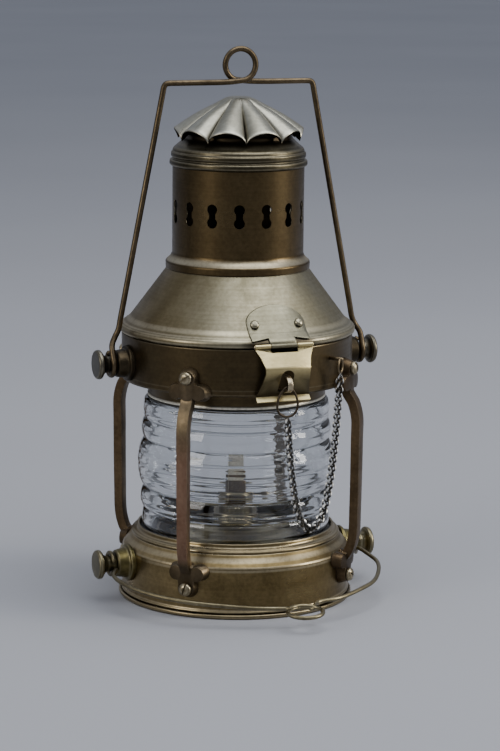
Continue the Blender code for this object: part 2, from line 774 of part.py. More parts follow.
def knob(name, side, height):
    """A thumb knob with the stud that the bail eye turns on and a tenon into the boss."""
    stud = BOSS_FACE_X + GAP
    disc = KNOB_FACE_X - KNOB_DISC
    rim = KNOB_DISC / 6
    tenon = BOSS_FACE_X - TENON_LENGTH
    outline = [
        (0, KNOB_FACE_X), (KNOB_R - 2 * rim, KNOB_FACE_X - rim / 2), (KNOB_R, KNOB_FACE_X - 2 * rim),
        (KNOB_R, disc + rim), (KNOB_R - rim, disc), (STUD_R + rim, (KNOB_CONE_X + disc) / 2),
        (STUD_R, KNOB_CONE_X), (STUD_R, stud), (TENON_R, stud), (TENON_R, tenon), (0, tenon),
    ]
    item = turned(name, outline, ring=False, steps=SMALL_STEPS)
    item.rotation_euler.y = math.radians(90 * side)
    item.location.z = height
    return dress(item, BRASS)


def eye_points(side, eye_x, height, forward):
    """One wire eye round a stud, from its tail to where the leg leaves it.

    forward is the direction in which the leg leaves, as (y, z).
    """
    points = []
    ahead = Vector(forward)
    beside = Vector((-ahead.y, ahead.x))
    for step in range(EYE_POINTS):
        share = 1 - step / (EYE_POINTS - 1)
        turn = math.radians(EYE_START_DEG + (EYE_TAIL_DEG - EYE_START_DEG) * share)
        spot = (ahead * math.cos(turn) + beside * math.sin(turn)) * EYE_R
        points.append((side * eye_x, spot.x, height + spot.y))
    return points


def upper_bail(empty):
    """The carrying bail: two eyes, two legs that lean in, and a bar with a one-turn eye."""
    low_x, low_rise = BAIL_EYE_X + BAIL_LEG_LOW[0], BAIL_LEG_LOW[1]
    corner_x, corner_rise = BAIL_CORNER
    top = UPPER_PIVOT_Z + corner_rise
    half_turn = math.degrees(math.atan2(corner_rise - low_rise, low_x - corner_x)) / 2
    setback = BAIL_CORNER_R * math.tan(math.radians(half_turn))
    leg = Vector((low_x - corner_x, low_rise - corner_rise)).normalized()

    def half(side):
        points = eye_points(side, BAIL_EYE_X, UPPER_PIVOT_Z, (0, 1))
        points.append((side * BAIL_EYE_X, -EYE_R / 3, UPPER_PIVOT_Z + 1.6 * EYE_R))
        points.append((side * (BAIL_EYE_X + low_x) / 2, 0, UPPER_PIVOT_Z + BAIL_NECK))
        points.append((side * low_x, 0, UPPER_PIVOT_Z + low_rise))
        points.append((side * (corner_x + leg.x * setback), 0, top + leg.y * setback))
        points.append((side * (corner_x - setback / 5 + leg.x * setback / 4), 0, top + leg.y * setback / 4))
        points.append((side * (corner_x - setback), 0, top))
        return points

    ring = []
    centre = (BAIL_RING_X, UPPER_PIVOT_Z + BAIL_RING_RISE)
    for step in range(RING_POINTS + 1):
        share = step / RING_POINTS
        turn = math.tau * share
        aside = BAIL_SIDE_STEP * (2 * share - 1)
        across = centre[0] + BAIL_RING_R * math.sin(turn)
        ring.append((across, aside, centre[1] - BAIL_RING_R * math.cos(turn)))
    before = (BAIL_RING_X - BAIL_RING_R, -BAIL_SIDE_STEP, ring[0][2] - BAIL_WIRE_R / 4)
    after = (BAIL_RING_X + BAIL_RING_R, BAIL_SIDE_STEP, ring[0][2] - BAIL_WIRE_R / 4)
    points = half(-1) + [before] + ring + [after] + half(1)[::-1]
    ride(dress(wire("upper_bail", points, BAIL_WIRE_R), BRASS), empty)


def on_handle(across, out):
    """A place on the lower bail's tilted plane, out being the distance towards the front."""
    drop = out * math.tan(math.radians(HANDLE_TILT_DEG))
    return (across, -out, LOWER_PIVOT_Z - drop)


def handle_loop_points():
    """The small flat loop in the middle of the lower bail, stepped so that the wire clears itself."""
    half_across, half_out = HANDLE_LOOP_HALF
    points = []
    for step in range(HANDLE_LOOP_POINTS + 1):
        share = step / HANDLE_LOOP_POINTS
        turn = math.radians(-50) + math.radians(360 + 100) * share
        across = HANDLE_LOOP_X + half_across * math.sin(turn)
        out = HANDLE_REACH + half_out - half_out * math.cos(turn)
        place = on_handle(across, out)
        points.append((place[0], place[1], place[2] + HANDLE_LOOP_STEP * (0.5 - share)))
    return points


def lower_bail(empty):
    """The bottom bail: a thin wire that bows round the front, held by the lower knobs."""
    tilt = math.radians(HANDLE_TILT_DEG)
    forward = (-math.cos(tilt), -math.sin(tilt))

    def half(side, shares):
        points = eye_points(side, HANDLE_EYE_X, LOWER_PIVOT_Z, forward)
        points += [on_handle(side * HANDLE_EYE_X * across, HANDLE_REACH * out) for across, out in shares]
        return points

    points = half(-1, HANDLE_LEFT_SHARES) + handle_loop_points() + half(1, HANDLE_RIGHT_SHARES)[::-1]
    ride(dress(wire("lower_bail", points, HANDLE_WIRE_R), BRASS), empty)


def hood_outline():
    """The hood's outer line from the neck down to the lip."""
    rise = 2 * LIP_HEIGHT
    flare = LIP_R - CONE_FOOT_R
    points = [(NECK_R, NECK_TOP_Z), (NECK_R + GAP, CONE_TOP_Z + COVE_RISE / 2), (CONE_TOP_R, CONE_TOP_Z)]
    points.append((CONE_FOOT_R, CONE_FOOT_Z))
    points.append((CONE_FOOT_R + 0.56 * flare, LIP_Z + 0.69 * rise))
    points.append((CONE_FOOT_R + 0.85 * flare, LIP_Z + 0.50 * rise))
    points.append((LIP_R, LIP_Z + 0.30 * rise))
    points.append((LIP_R, LIP_Z + 0.15 * rise))
    points.append((LIP_R - 0.13 * flare, LIP_Z))
    return points


def moved_out(outline, distance):
    """The same line moved square to itself, outward when the distance is positive."""
    moved = []
    for place in range(len(outline)):
        before = Vector(outline[max(place - 1, 0)])
        after = Vector(outline[min(place + 1, len(outline) - 1)])
        along = (after - before).normalized()
        moved.append((outline[place][0] - along.y * distance, outline[place][1] + along.x * distance))
    return moved


def hood(empty):
    outer = hood_outline()
    inner = moved_out(outer, -SHEET)
    inner[0] = (NECK_R - SHEET, NECK_TOP_Z)
    inner[-3] = (LIP_R - SHEET, LIP_Z + LIP_HEIGHT / 2)
    edge = LIP_R - LIP_WIDTH
    inner = inner[:-2] + [(LIP_R - SHEET, LIP_Z + SHEET), (edge, LIP_Z + SHEET), (edge, LIP_Z)]
    cone = dress(turned("hood_cone", outer + inner[::-1], ring=True), BRASS)
    for front in (-1, 1):
        for across in (-1, 1):
            combine(cone, cone_rivet_hole("cone_rivet_hole", front, across), "DIFFERENCE")
    ride(cone, empty)


def cone_rivet_place(front, across, out):
    """A rivet's place on the cone and its outward direction."""
    seat = Vector((CONE_FOOT_R, CONE_FOOT_Z)) - CONE_DOWN * (RIVET_RISE - LIP_HEIGHT)
    turn = math.asin(across * RIVET_SPREAD / seat.x)
    heading = Vector((math.sin(turn), front * math.cos(turn), 0))
    spot = seat + CONE_OUT * out
    place = heading * spot.x + Vector((0, 0, spot.y))
    direction = heading * CONE_OUT.x + Vector((0, 0, CONE_OUT.y))
    return place, direction


def cone_rivet_hole(name, front, across):
    place, direction = cone_rivet_place(front, across, 0)
    return rod(name, RIVET_SHANK_R + GAP, place - direction * OVERRUN, place + direction * OVERRUN, 8)


def rivet_mesh():
    outline = [
        (0, RIVET_HEAD), (RIVET_HEAD_R * 0.7, RIVET_HEAD * 0.8), (RIVET_HEAD_R, 0),
        (RIVET_SHANK_R, 0), (RIVET_SHANK_R, -RIVET_REACH), (0, -RIVET_REACH),
    ]
    item = turned("rivet", outline, ring=False, steps=SCREW_STEPS)
    mesh = evaluated_mesh(item)
    bpy.data.objects.remove(item, do_unlink=True)
    return mesh


def chimney(empty):
    inner_r = CHIMNEY_R - CHIMNEY_WALL
    bead = COLLAR_BEAD_R - CHIMNEY_R
    outline = [(CHIMNEY_R, CHIMNEY_TOP_Z)]
    for out, up in COLLAR_BEAD_SHARES:
        outline.append((CHIMNEY_R + bead * out, CHIMNEY_Z + COLLAR_BEAD_HEIGHT * up))
    outline += [(inner_r, CHIMNEY_Z), (inner_r, CHIMNEY_TOP_Z)]
    tube = dress(turned("chimney", outline, ring=True, steps=2 * VENT_COUNT), BRASS)
    combine(tube, vent_cutters(), "DIFFERENCE")
    ride(tube, empty)


def vent_outline():
    """One keyhole: two round holes joined by a narrow waist."""
    waist_deg = math.degrees(math.asin(VENT_WAIST / VENT_R))
    upper = arc((0, VENT_SPACING / 2), VENT_R, -90 + waist_deg, 270 - waist_deg, VENT_ARC_POINTS)
    lower = arc((0, -VENT_SPACING / 2), VENT_R, 90 + waist_deg, 450 - waist_deg, VENT_ARC_POINTS)
    return upper + lower


def vent_cutters():
    reach = CHIMNEY_R
    one = flat("vent", vent_outline(), 2 * OVERRUN, Matrix.Translation((reach, 0, 0)) @ SIDE_VIEW)
    places = []
    for number in range(VENT_COUNT):
        turn = math.radians(VENT_TURN_DEG - 90 + 360 * number / VENT_COUNT)
        lift = Matrix.Translation((0, 0, CHIMNEY_Z + VENT_HEIGHT))
        places.append(lift @ Matrix.Rotation(turn, 4, "Z"))
    cutters = copies("vents", one.data, places)
    bpy.data.objects.remove(one, do_unlink=True)
    return cutters


def chimney_cap(empty):
    """The rolled top of the chimney: two beads, a dome and a short open neck."""
    depth = CAP_BEAD_R - CAP_NECK_R
    outer = []
    for inward, up in CAP_OUTER_SHARES:
        outer.append((CAP_BEAD_R - depth * inward, CAP_TOP_Z - CAP_HEIGHT * up))
    wall = CHIMNEY_R - CAP_WALL
    inner = [
        (wall, CAP_Z), (wall, CAP_TOP_Z - CAP_HEIGHT * 0.58),
        (wall - depth * 0.42, CAP_TOP_Z - CAP_HEIGHT * 0.45),
        (CAP_NECK_R - CAP_WALL, CAP_TOP_Z - CAP_HEIGHT * 0.16), (CAP_NECK_R - CAP_WALL, CAP_TOP_Z),
    ]
    ride(dress(turned("chimney_cap", outer + inner, ring=True), BRASS), empty)


def crown(empty):
    """The fluted rain cover: a turned sheet whose skirt is drawn into ten flutes."""
    outline = [(0, CROWN_TOP_Z), (CROWN_FLAT_R, CROWN_TOP_Z), (CROWN_KNEE_R, CROWN_TOP_Z - CROWN_KNEE_DROP)]
    run = CROWN_R - CROWN_KNEE_R
    for share in CROWN_ROW_SHARES:
        outline.append((CROWN_KNEE_R + run * share, CROWN_TOP_Z - CROWN_ARCH_DROP * share))
    sheet = turned("crown", outline, ring=False, steps=CROWN_FLUTES * CROWN_FLUTE_STEPS)
    sheet = replace_by_mesh(sheet)
    for vertex in sheet.data.vertices:
        vertex.co = fluted(vertex.co)
    thick = sheet.modifiers.new("sheet", "SOLIDIFY")
    thick.thickness = CROWN_SHEET
    thick.offset = -1
    sheet.rotation_euler.z = math.radians(CROWN_TURN_DEG - 90)
    smooth(sheet.data)
    ride(dress(sheet, PALE_BRASS), empty)


def fluted(place):
    """Move a point of the turned sheet onto the flutes: arches between pinched valleys."""
    radius = math.hypot(place.x, place.y)
    if radius < (CROWN_KNEE_R + CROWN_FLAT_R) / 2:
        return place
    turn = math.atan2(place.y, place.x)
    arch = abs(math.sin(turn * CROWN_FLUTES / 2)) ** 0.6
    share = max(0, (radius - CROWN_KNEE_R) / (CROWN_R - CROWN_KNEE_R))
    bulge = CROWN_BULGE_SHARE * math.sin(math.pi * share) * CROWN_ARCH_DROP
    arch_z = CROWN_TOP_Z - CROWN_KNEE_DROP - (CROWN_ARCH_DROP - CROWN_KNEE_DROP) * share + bulge
    valley_z = CROWN_TOP_Z - CROWN_KNEE_DROP - (CROWN_VALLEY_DROP - CROWN_KNEE_DROP) * share
    edge = CROWN_VALLEY_R + (CROWN_R - CROWN_VALLEY_R) * arch
    out = CROWN_KNEE_R + (edge - CROWN_KNEE_R) * share if share > 0 else radius
    height = valley_z + (arch_z - valley_z) * arch
    return Vector((out * math.cos(turn), out * math.sin(turn), height))


def knuckles(name, front, spans):
    """Hinge knuckles along X at the lip, as one mesh per span."""
    y, z = front * KNUCKLE_Y, KNUCKLE_Z
    return [rod(name, KNUCKLE_R, (low, y, z), (high, y, z), 12) for low, high in spans]


def pin_bore(name, front):
    reach, middle = KNUCKLE_LENGTH, front * KNUCKLE_Y
    return rod(name, PIN_BORE_R, (-reach, middle, KNUCKLE_Z), (reach, middle, KNUCKLE_Z), 8)


def side_spans():
    inner = KNUCKLE_MIDDLE / 2 + GAP
    outer = KNUCKLE_LENGTH / 2
    return ((-outer, -inner), (inner, outer))


def cone_leaf(name, front, empty):
    """A hinge leaf on the cone: an arched plate that follows it and a middle knuckle at the lip."""
    line = hood_outline()[2:8]
    low_side = moved_out(line, GAP)
    high_side = moved_out(line, GAP + LEAF_SHEET)
    plate = turned(name, high_side + low_side[::-1], ring=True)
    half = KNUCKLE_LENGTH / 2
    tongue = KNUCKLE_MIDDLE / 2
    sill = LIP_Z + LEAF_PLATE_RISE
    shoulder = LIP_Z + LEAF_SHOULDER_RISE
    top = LIP_Z + LEAF_ARCH_RISE
    outline = [(-tongue, LIP_Z), (tongue, LIP_Z), (tongue, sill), (half, sill), (half, shoulder)]
    for step in range(1, LEAF_ARCH_POINTS - 1):
        turn = math.pi * step / (LEAF_ARCH_POINTS - 1)
        outline.append((half * math.cos(turn), shoulder + (top - shoulder) * math.sin(turn)))
    outline += [(-half, shoulder), (-half, sill), (-tongue, sill)]
    depth = LIP_R + OVERRUN
    middle = Matrix.Translation((0, front * depth / 2, 0))
    window = flat(name + "_outline", outline, depth, middle @ FRONT_VIEW)
    combine(plate, window, "INTERSECT")
    for barrel in knuckles(name + "_knuckle", front, ((-tongue, tongue),)):
        combine(plate, barrel, "UNION")
    combine(plate, pin_bore(name + "_pin_bore", front), "DIFFERENCE")
    for across in (-1, 1):
        combine(plate, cone_rivet_hole(name + "_rivet_hole", front, across), "DIFFERENCE")
    ride(dress(plate, BRASS), empty)


def ribbon(points, thickness):
    """The outline of a bent strip from the line along its middle."""
    return moved_out(points, thickness / 2) + moved_out(points, -thickness / 2)[::-1]


def hasp_leaf(empty):
    """The swinging hasp leaf: out from the lip, round a knee, back to the band and a turned-out tab."""
    points = [(-KNUCKLE_R / 2, KNUCKLE_R / 2), HASP_KNEE, HASP_BULGE]
    points.append(((HASP_BULGE[0] + HASP_BACK[0]) / 2 + HASP_SHEET, (HASP_BULGE[1] + HASP_BACK[1]) / 2))
    points += [HASP_BACK, HASP_TAB]
    line = [(-KNUCKLE_Y - out, KNUCKLE_Z - down) for out, down in points]
    strip = flat("hasp_leaf", ribbon(line, HASP_SHEET), KNUCKLE_LENGTH, SIDE_VIEW)
    half, knee, tab = KNUCKLE_LENGTH / 2, HASP_KNEE_WIDTH / 2, HASP_TAB_WIDTH / 2
    side = [(half, KNUCKLE_R), (half, -KNUCKLE_R), (knee, -HASP_KNEE[1]), (knee, -HASP_BULGE[1])]
    side += [(tab, -HASP_BACK[1]), (tab, -HASP_TAB[1] - OVERRUN)]
    outline = [(across, KNUCKLE_Z + up) for across, up in side]
    outline += [(-across, KNUCKLE_Z + up) for across, up in reversed(side)]
    depth = 2 * OVERRUN + HASP_BULGE[0] + KNUCKLE_R
    middle = Matrix.Translation((0, -KNUCKLE_Y - HASP_BULGE[0] / 2, 0))
    combine(strip, flat("hasp_outline", outline, 2 * depth, middle @ FRONT_VIEW), "INTERSECT")
    combine(strip, hasp_hole(depth, middle), "DIFFERENCE")
    window = KNUCKLE_MIDDLE / 2 + GAP
    reach = KNUCKLE_R + GAP
    low = (-window, -KNUCKLE_Y - reach, KNUCKLE_Z - reach)
    high = (window, -KNUCKLE_Y + reach, KNUCKLE_Z + reach)
    combine(strip, box("hasp_notch", low, high), "DIFFERENCE")
    for barrel in knuckles("hasp_knuckle", -1, side_spans()):
        combine(strip, barrel, "UNION")
    combine(strip, pin_bore("hasp_leaf_bore", -1), "DIFFERENCE")
    ride(dress(strip, PALE_BRASS), empty)


def hasp_hole(depth, middle):
    half = HASP_HOLE_WIDTH / 2
    top = KNUCKLE_Z - HASP_HOLE_TOP - half
    outline = arc((0, top), half, 0, 180, HASP_HOLE_POINTS)
    outline += [(-half, KNUCKLE_Z - HASP_HOLE_BOTTOM), (half, KNUCKLE_Z - HASP_HOLE_BOTTOM)]
    return flat("hasp_hole", outline, 2 * depth, middle @ FRONT_VIEW)


def hinge_pin(name, front):
    half = KNUCKLE_LENGTH / 2 + GAP
    place = front * KNUCKLE_Y
    item = rod(name, PIN_R, (-half, place, KNUCKLE_Z), (half, place, KNUCKLE_Z), 8)
    return dress(item, WORN_BRASS)


def staple(ring):
    """The strip loop on the band that comes through the hasp leaf."""
    low = BAND_TOP_Z - STAPLE_TOP_RISE - STAPLE_SHEET / 2
    line = []
    for out, up in STAPLE_SHARES:
        root = STAPLE_ROOT if out == 0 else 0
        height = low - STAPLE_HEIGHT + STAPLE_HEIGHT * up + STAPLE_SHEET
        line.append((-BAND_R + root - STAPLE_REACH * out, height))
    item = dress(flat("hasp_staple", ribbon(line, STAPLE_SHEET), STAPLE_WIDTH, SIDE_VIEW), WORN_BRASS)
    room = ribbon(line, STAPLE_SHEET + 2 * GAP)
    slot = flat("staple_slot", room, STAPLE_WIDTH + 2 * GAP, SIDE_VIEW)
    combine(ring, slot, "DIFFERENCE")
    return item


def rear_hinge(hood_empty):
    """The hinge that the hood opens on: a leaf on the band with two knuckles and one on the cone."""
    cone_leaf("hinge_leaf_hood", 1, hood_empty)
    top = BAND_TOP_Z - HINGE_PLATE_DROP
    low = top - HINGE_PLATE_HEIGHT
    inner, outer = BAND_R + GAP, BAND_R + GAP + LEAF_SHEET
    half = KNUCKLE_LENGTH / 2
    plate = box("hinge_leaf_band", (-half, 0, low), (half, LIP_R + OVERRUN, top))
    combine(plate, drum_solid("band_leaf_outside", outer, low - OVERRUN, top + OVERRUN), "INTERSECT")
    end_y = math.sqrt(inner ** 2 - half ** 2) + LEAF_SHEET / 2
    line = [(end_y, top - 2 * LEAF_SHEET), (inner + LEAF_SHEET / 2, top)]
    line.append((KNUCKLE_Y + KNUCKLE_R / 2, KNUCKLE_Z - KNUCKLE_R))
    for number, (start, end) in enumerate(side_spans()):
        to_span = Matrix.Translation(((start + end) / 2, 0, 0)) @ SIDE_VIEW
        strip = flat("band_leaf_strip_%d" % number, ribbon(line, LEAF_SHEET), end - start, to_span)
        combine(plate, strip, "UNION")
    for barrel in knuckles("band_leaf_knuckle", 1, side_spans()):
        combine(plate, barrel, "UNION")
    combine(plate, drum_solid("band_leaf_wall", inner, low - 2 * OVERRUN, top + 2 * OVERRUN), "DIFFERENCE")
    combine(plate, pin_bore("band_leaf_bore", 1), "DIFFERENCE")
    for across in (-1, 1):
        combine(plate, band_rivet_hole("band_leaf_hole", across), "DIFFERENCE")
    dress(plate, BRASS)
    hinge_pin("hinge_pin", 1)


def band_rivet_place(across, out):
    height = BAND_TOP_Z - HINGE_RIVET_DROP
    turn = math.asin(across * RIVET_SPREAD / BAND_R)
    heading = Vector((math.sin(turn), math.cos(turn), 0))
    return heading * (BAND_R + out) + Vector((0, 0, height)), heading


def band_rivet_hole(name, across):
    place, direction = band_rivet_place(across, 0)
    return rod(name, RIVET_SHANK_R + GAP, place - direction * OVERRUN, place + direction * OVERRUN, 8)


def rivets(ring, hood_empty):
    mesh = rivet_mesh()
    seat = 2 * GAP + LEAF_SHEET
    for side, across in (("left", -1), ("right", 1)):
        for name, front in (("hasp_rivet_", -1), ("hood_hinge_rivet_", 1)):
            item = placed(name + side, mesh, facing(*cone_rivet_place(front, across, seat)))
            ride(dress(item, WORN_BRASS), hood_empty)
        dress(placed("band_hinge_rivet_" + side, mesh, facing(*band_rivet_place(across, seat))), WORN_BRASS)
        combine(ring, band_rivet_hole("band_rivet_hole", across), "DIFFERENCE")


def staple_nose():
    """The middle of the space inside the staple's outer end, where the lock ring hangs."""
    low = BAND_TOP_Z - STAPLE_TOP_RISE - STAPLE_SHEET / 2 - STAPLE_HEIGHT + STAPLE_SHEET
    out = BAND_R + STAPLE_REACH * LOCK_OUT_SHARE
    return Vector((LOCK_X, -out, low + STAPLE_HEIGHT * LOCK_SEAT_SHARE + STAPLE_SHEET / 2 + LOCK_WIRE_R))


def lock_ring_points():
    nose = staple_nose()
    half_across, half_up = LOCK_HALF
    points = []
    for step in range(LOCK_POINTS):
        turn = math.tau * step / LOCK_POINTS
        height = nose.z - half_up + half_up * math.cos(turn)
        points.append((nose.x + half_across * math.sin(turn), nose.y, height))
    return points


def catenary(start, end, length, count):
    """Points of a chain of the given length that hangs between two places."""
    flat_run = Vector((end.x - start.x, end.y - start.y, 0))
    span = flat_run.length
    drop = end.z - start.z
    goal = math.sqrt(length ** 2 - drop ** 2) / span
    low, high = 0.01, 20
    for step in range(60):
        guess = (low + high) / 2
        if math.sinh(guess) / guess < goal:
            low = guess
        else:
            high = guess
    scale = span / (2 * low)
    shift = span / 2 - scale * math.atanh(drop / length)
    base_z = start.z - scale * math.cosh(shift / scale)
    reach_start = -shift
    arc_start = scale * math.sinh(reach_start / scale)
    points = []
    for step in range(count):
        along = scale * math.asinh((arc_start + length * step / (count - 1)) / scale)
        share = (along + shift) / span
        place = start + flat_run * share
        points.append((place.x, place.y, base_z + scale * math.cosh(along / scale)))
    return points


def chain_eye_centre():
    return out_from(BAND_R + CHAIN_EYE_OUT + CHAIN_EYE_R, BAND_Z + CHAIN_EYE_RISE, CHAIN_EYE_TURN_DEG)


def lock_and_chain(ring):
    """The lock ring through the staple, the chain and the eye on the band that holds its end."""
    dress(wire("lock_ring", lock_ring_points(), LOCK_WIRE_R, closed=True), DARK_BRASS)
    centre = chain_eye_centre()
    heading = out_from(1, 0, CHAIN_EYE_TURN_DEG)
    loop = []
    for step in range(SMALL_STEPS):
        turn = math.tau * step / SMALL_STEPS
        rise = Vector((0, 0, CHAIN_EYE_R * math.sin(turn)))
        loop.append(centre + heading * CHAIN_EYE_R * math.cos(turn) + rise)
    eye = replace_by_mesh(wire("chain_eye", loop, CHAIN_EYE_WIRE_R, closed=True))
    inner = centre - heading * CHAIN_EYE_R
    root = inner - heading * (CHAIN_EYE_OUT + SHEET)
    combine(eye, rod("chain_eye_shank", CHAIN_EYE_SHANK_R, root, inner, 10), "UNION")
    hole = rod("chain_eye_hole", CHAIN_EYE_SHANK_R + GAP, root - heading * OVERRUN, inner, 10)
    combine(ring, hole, "DIFFERENCE")
    dress(eye, WORN_BRASS)

    start = staple_nose() - Vector((0, 0, 2 * LOCK_HALF[1] + LOCK_WIRE_R + 3 * GAP / 2))
    end = centre - Vector((0, 0, CHAIN_EYE_R + CHAIN_EYE_WIRE_R + 3 * GAP / 2))
    points = catenary(start, end, CHAIN_LENGTH, CHAIN_POINTS)
    dress(wire("hasp_chain", points, CHAIN_R), DARK_BRASS)


def oil_font():
    """The oil tank on the base plate, with its screwed collar."""
    base_z = BASE_FLOOR + GAP
    rise = FONT_TOP_Z - FONT_WALL_TOP_Z
    run = FONT_R - FONT_NECK_R
    outer = [(FONT_NECK_R + run * out, FONT_WALL_TOP_Z + rise * up) for out, up in FONT_DOME_SHARES]
    outer.append((FONT_R, base_z))
    inner = moved_out(outer[1:-1], -SHEET)
    inner[0] = (FONT_NECK_R - SHEET, FONT_TOP_Z - SHEET)
    inner = [(FONT_MOUTH_R, FONT_TOP_Z), (FONT_MOUTH_R, FONT_TOP_Z - SHEET)] + inner
    outline = outer + [(0, base_z), (0, base_z + SHEET), (FONT_R - SHEET, base_z + SHEET)] + inner[::-1]
    dress(turned("oil_font", outline, ring=True), DARK_BRASS)


def burner():
    """Collar, burner shell, gallery disc and the flat wick tube."""
    plate_z = FONT_TOP_Z + GAP
    top = plate_z + COLLAR_PLATE
    outline = [
        (COLLAR_R, top), (COLLAR_R, plate_z - COLLAR_DEPTH), (FONT_NECK_R + GAP, plate_z - COLLAR_DEPTH),
        (FONT_NECK_R + GAP, plate_z), (FONT_MOUTH_R, plate_z), (FONT_MOUTH_R, top),
    ]
    dress(turned("font_collar", outline, ring=True), BRASS)

    foot_z = top + GAP
    head_z = foot_z + BURNER_HEIGHT
    half_width, half_depth = TUBE_WIDTH / 2 + GAP, TUBE_DEPTH / 2 + GAP
    outline = [
        (0, head_z), (BURNER_R, head_z), (BURNER_R, foot_z), (BURNER_BORE_R, foot_z),
        (BURNER_BORE_R, head_z - BURNER_TOP), (0, head_z - BURNER_TOP),
    ]
    shell = dress(turned("burner_shell", outline, ring=False, steps=SMALL_STEPS), BRASS)
    slot_low = (-half_width, -half_depth, head_z - BURNER_TOP - OVERRUN)
    combine(shell, box("shell_slot", slot_low, (half_width, half_depth, head_z + OVERRUN)), "DIFFERENCE")
    spindle_y, spindle_z = spindle_place()
    outside = (BURNER_R + OVERRUN, spindle_y, spindle_z)
    hole = rod("spindle_hole", SPINDLE_R + GAP, (0, spindle_y, spindle_z), outside, 10)
    combine(shell, hole, "DIFFERENCE")

    disc_z = head_z + GAP
    outline = [(0, disc_z + DISC_THICK), (DISC_R, disc_z + DISC_THICK), (DISC_R, disc_z), (0, disc_z)]
    disc = dress(turned("burner_disc", outline, ring=False, steps=SMALL_STEPS), BRASS)
    high = (half_width, half_depth, disc_z + DISC_THICK + OVERRUN)
    combine(disc, box("disc_slot", (-half_width, -half_depth, disc_z - OVERRUN), high), "DIFFERENCE")

    tube_z = head_z - BURNER_TOP
    tube_top = tube_z + BURNER_TOP + GAP + DISC_THICK + TUBE_HEIGHT
    half_width, half_depth = TUBE_WIDTH / 2, TUBE_DEPTH / 2
    low = (-half_width, -half_depth, tube_z)
    tube = box("wick_tube", low, (half_width, half_depth, tube_top))
    half_width, half_depth = half_width - TUBE_WALL, half_depth - TUBE_WALL
    low = (-half_width, -half_depth, tube_z - OVERRUN)
    bore = box("tube_bore", low, (half_width, half_depth, tube_top + OVERRUN))
    combine(tube, bore, "DIFFERENCE")
    dress(tube, WORN_BRASS)
    return tube_top


def spindle_place():
    """The winder spindle's y and z: its roller bears on the flat of the wick."""
    foot_z = FONT_TOP_Z + GAP + COLLAR_PLATE + GAP
    return WICK_DEPTH / 2 + GAP + ROLLER_R, foot_z + SPINDLE_RISE


def wick_and_winder(tube_top, empty):
    half_width, half_depth = WICK_WIDTH / 2, WICK_DEPTH / 2
    low = (-half_width, -half_depth, WICK_BOTTOM_Z)
    high = (half_width, half_depth, tube_top + WICK_SHOW)
    dress(box("wick", low, high), COTTON, metallic=0.0, roughness=0.9)
    spindle_y, spindle_z = spindle_place()
    roller = ROLLER_LENGTH / 2
    outline = [
        (0, SPINDLE_REACH), (THUMB_R, SPINDLE_REACH), (THUMB_R, SPINDLE_REACH - THUMB_THICK),
        (SPINDLE_R, SPINDLE_REACH - THUMB_THICK), (SPINDLE_R, roller), (ROLLER_R, roller),
        (ROLLER_R, -roller), (0, -roller),
    ]
    item = turned("wick_winder", outline, ring=False, steps=SMALL_STEPS)
    item.rotation_euler.y = math.radians(90)
    item.location = (0, spindle_y, spindle_z)
    ride(dress(item, WORN_BRASS), empty)


def main():
    hood_pivot = pivot("hood_pivot", (0, KNUCKLE_Y, KNUCKLE_Z))
    hasp_pivot = pivot("hasp_pivot", (0, -KNUCKLE_Y, KNUCKLE_Z))
    bail_pivot = pivot("bail_pivot", (0, 0, UPPER_PIVOT_Z))
    handle_pivot = pivot("handle_pivot", (0, 0, LOWER_PIVOT_Z))
    spindle_y, spindle_z = spindle_place()
    winder_pivot = pivot("winder_pivot", (0, spindle_y, spindle_z))

    base()
    lens_seat()
    lens()
    ring = band()
    uprights()
    upright_screws()
    for word, side in (("left", -1), ("right", 1)):
        boss("upper_boss_" + word, side, UPPER_PIVOT_Z, UPPER_BOSS_R, BAND_R)
        boss("lower_boss_" + word, side, LOWER_PIVOT_Z, LOWER_BOSS_R, DRUM_R)
        ride(knob("upper_knob_" + word, side, UPPER_PIVOT_Z), bail_pivot)
        knob("lower_knob_" + word, side, LOWER_PIVOT_Z)
    upper_bail(bail_pivot)
    lower_bail(handle_pivot)
    hood(hood_pivot)
    chimney(hood_pivot)
    chimney_cap(hood_pivot)
    crown(hood_pivot)
    cone_leaf("hasp_upper_leaf", -1, hood_pivot)
    hasp_leaf(hasp_pivot)
    ride(hinge_pin("hasp_pin", -1), hood_pivot)
    staple(ring)
    rear_hinge(hood_pivot)
    rivets(ring, hood_pivot)
    lock_and_chain(ring)
    oil_font()
    tube_top = burner()
    wick_and_winder(tube_top, winder_pivot)


main()
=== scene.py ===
"""Looks for the ship lantern: smooth brass shells, ribbed glass, wires, hasp, chain and burner.

Outlines are (radius, height) pairs in millimetres in the lantern's own frame, +Z up, hasp at -Y.
"""

import math

import bmesh
import bpy
from mathutils import Matrix, Vector

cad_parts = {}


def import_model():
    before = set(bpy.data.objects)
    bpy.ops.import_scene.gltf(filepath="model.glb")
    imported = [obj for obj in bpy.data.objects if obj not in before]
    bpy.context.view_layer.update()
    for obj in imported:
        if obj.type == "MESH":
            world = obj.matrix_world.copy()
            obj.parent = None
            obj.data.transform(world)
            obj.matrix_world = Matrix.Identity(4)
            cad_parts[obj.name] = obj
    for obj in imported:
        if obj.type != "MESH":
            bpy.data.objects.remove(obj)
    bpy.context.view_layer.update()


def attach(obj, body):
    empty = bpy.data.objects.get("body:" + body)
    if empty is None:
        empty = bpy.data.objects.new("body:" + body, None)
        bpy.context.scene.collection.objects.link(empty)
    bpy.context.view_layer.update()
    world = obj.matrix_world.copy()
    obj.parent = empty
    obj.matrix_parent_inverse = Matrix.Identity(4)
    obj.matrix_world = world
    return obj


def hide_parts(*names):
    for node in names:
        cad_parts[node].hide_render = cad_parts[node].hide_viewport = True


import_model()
MM = 0.001
STEPS = 144
BAND_RADIUS = 74.3
DRUM_RADIUS = 73.5
UPPER_PIVOT = 155.2
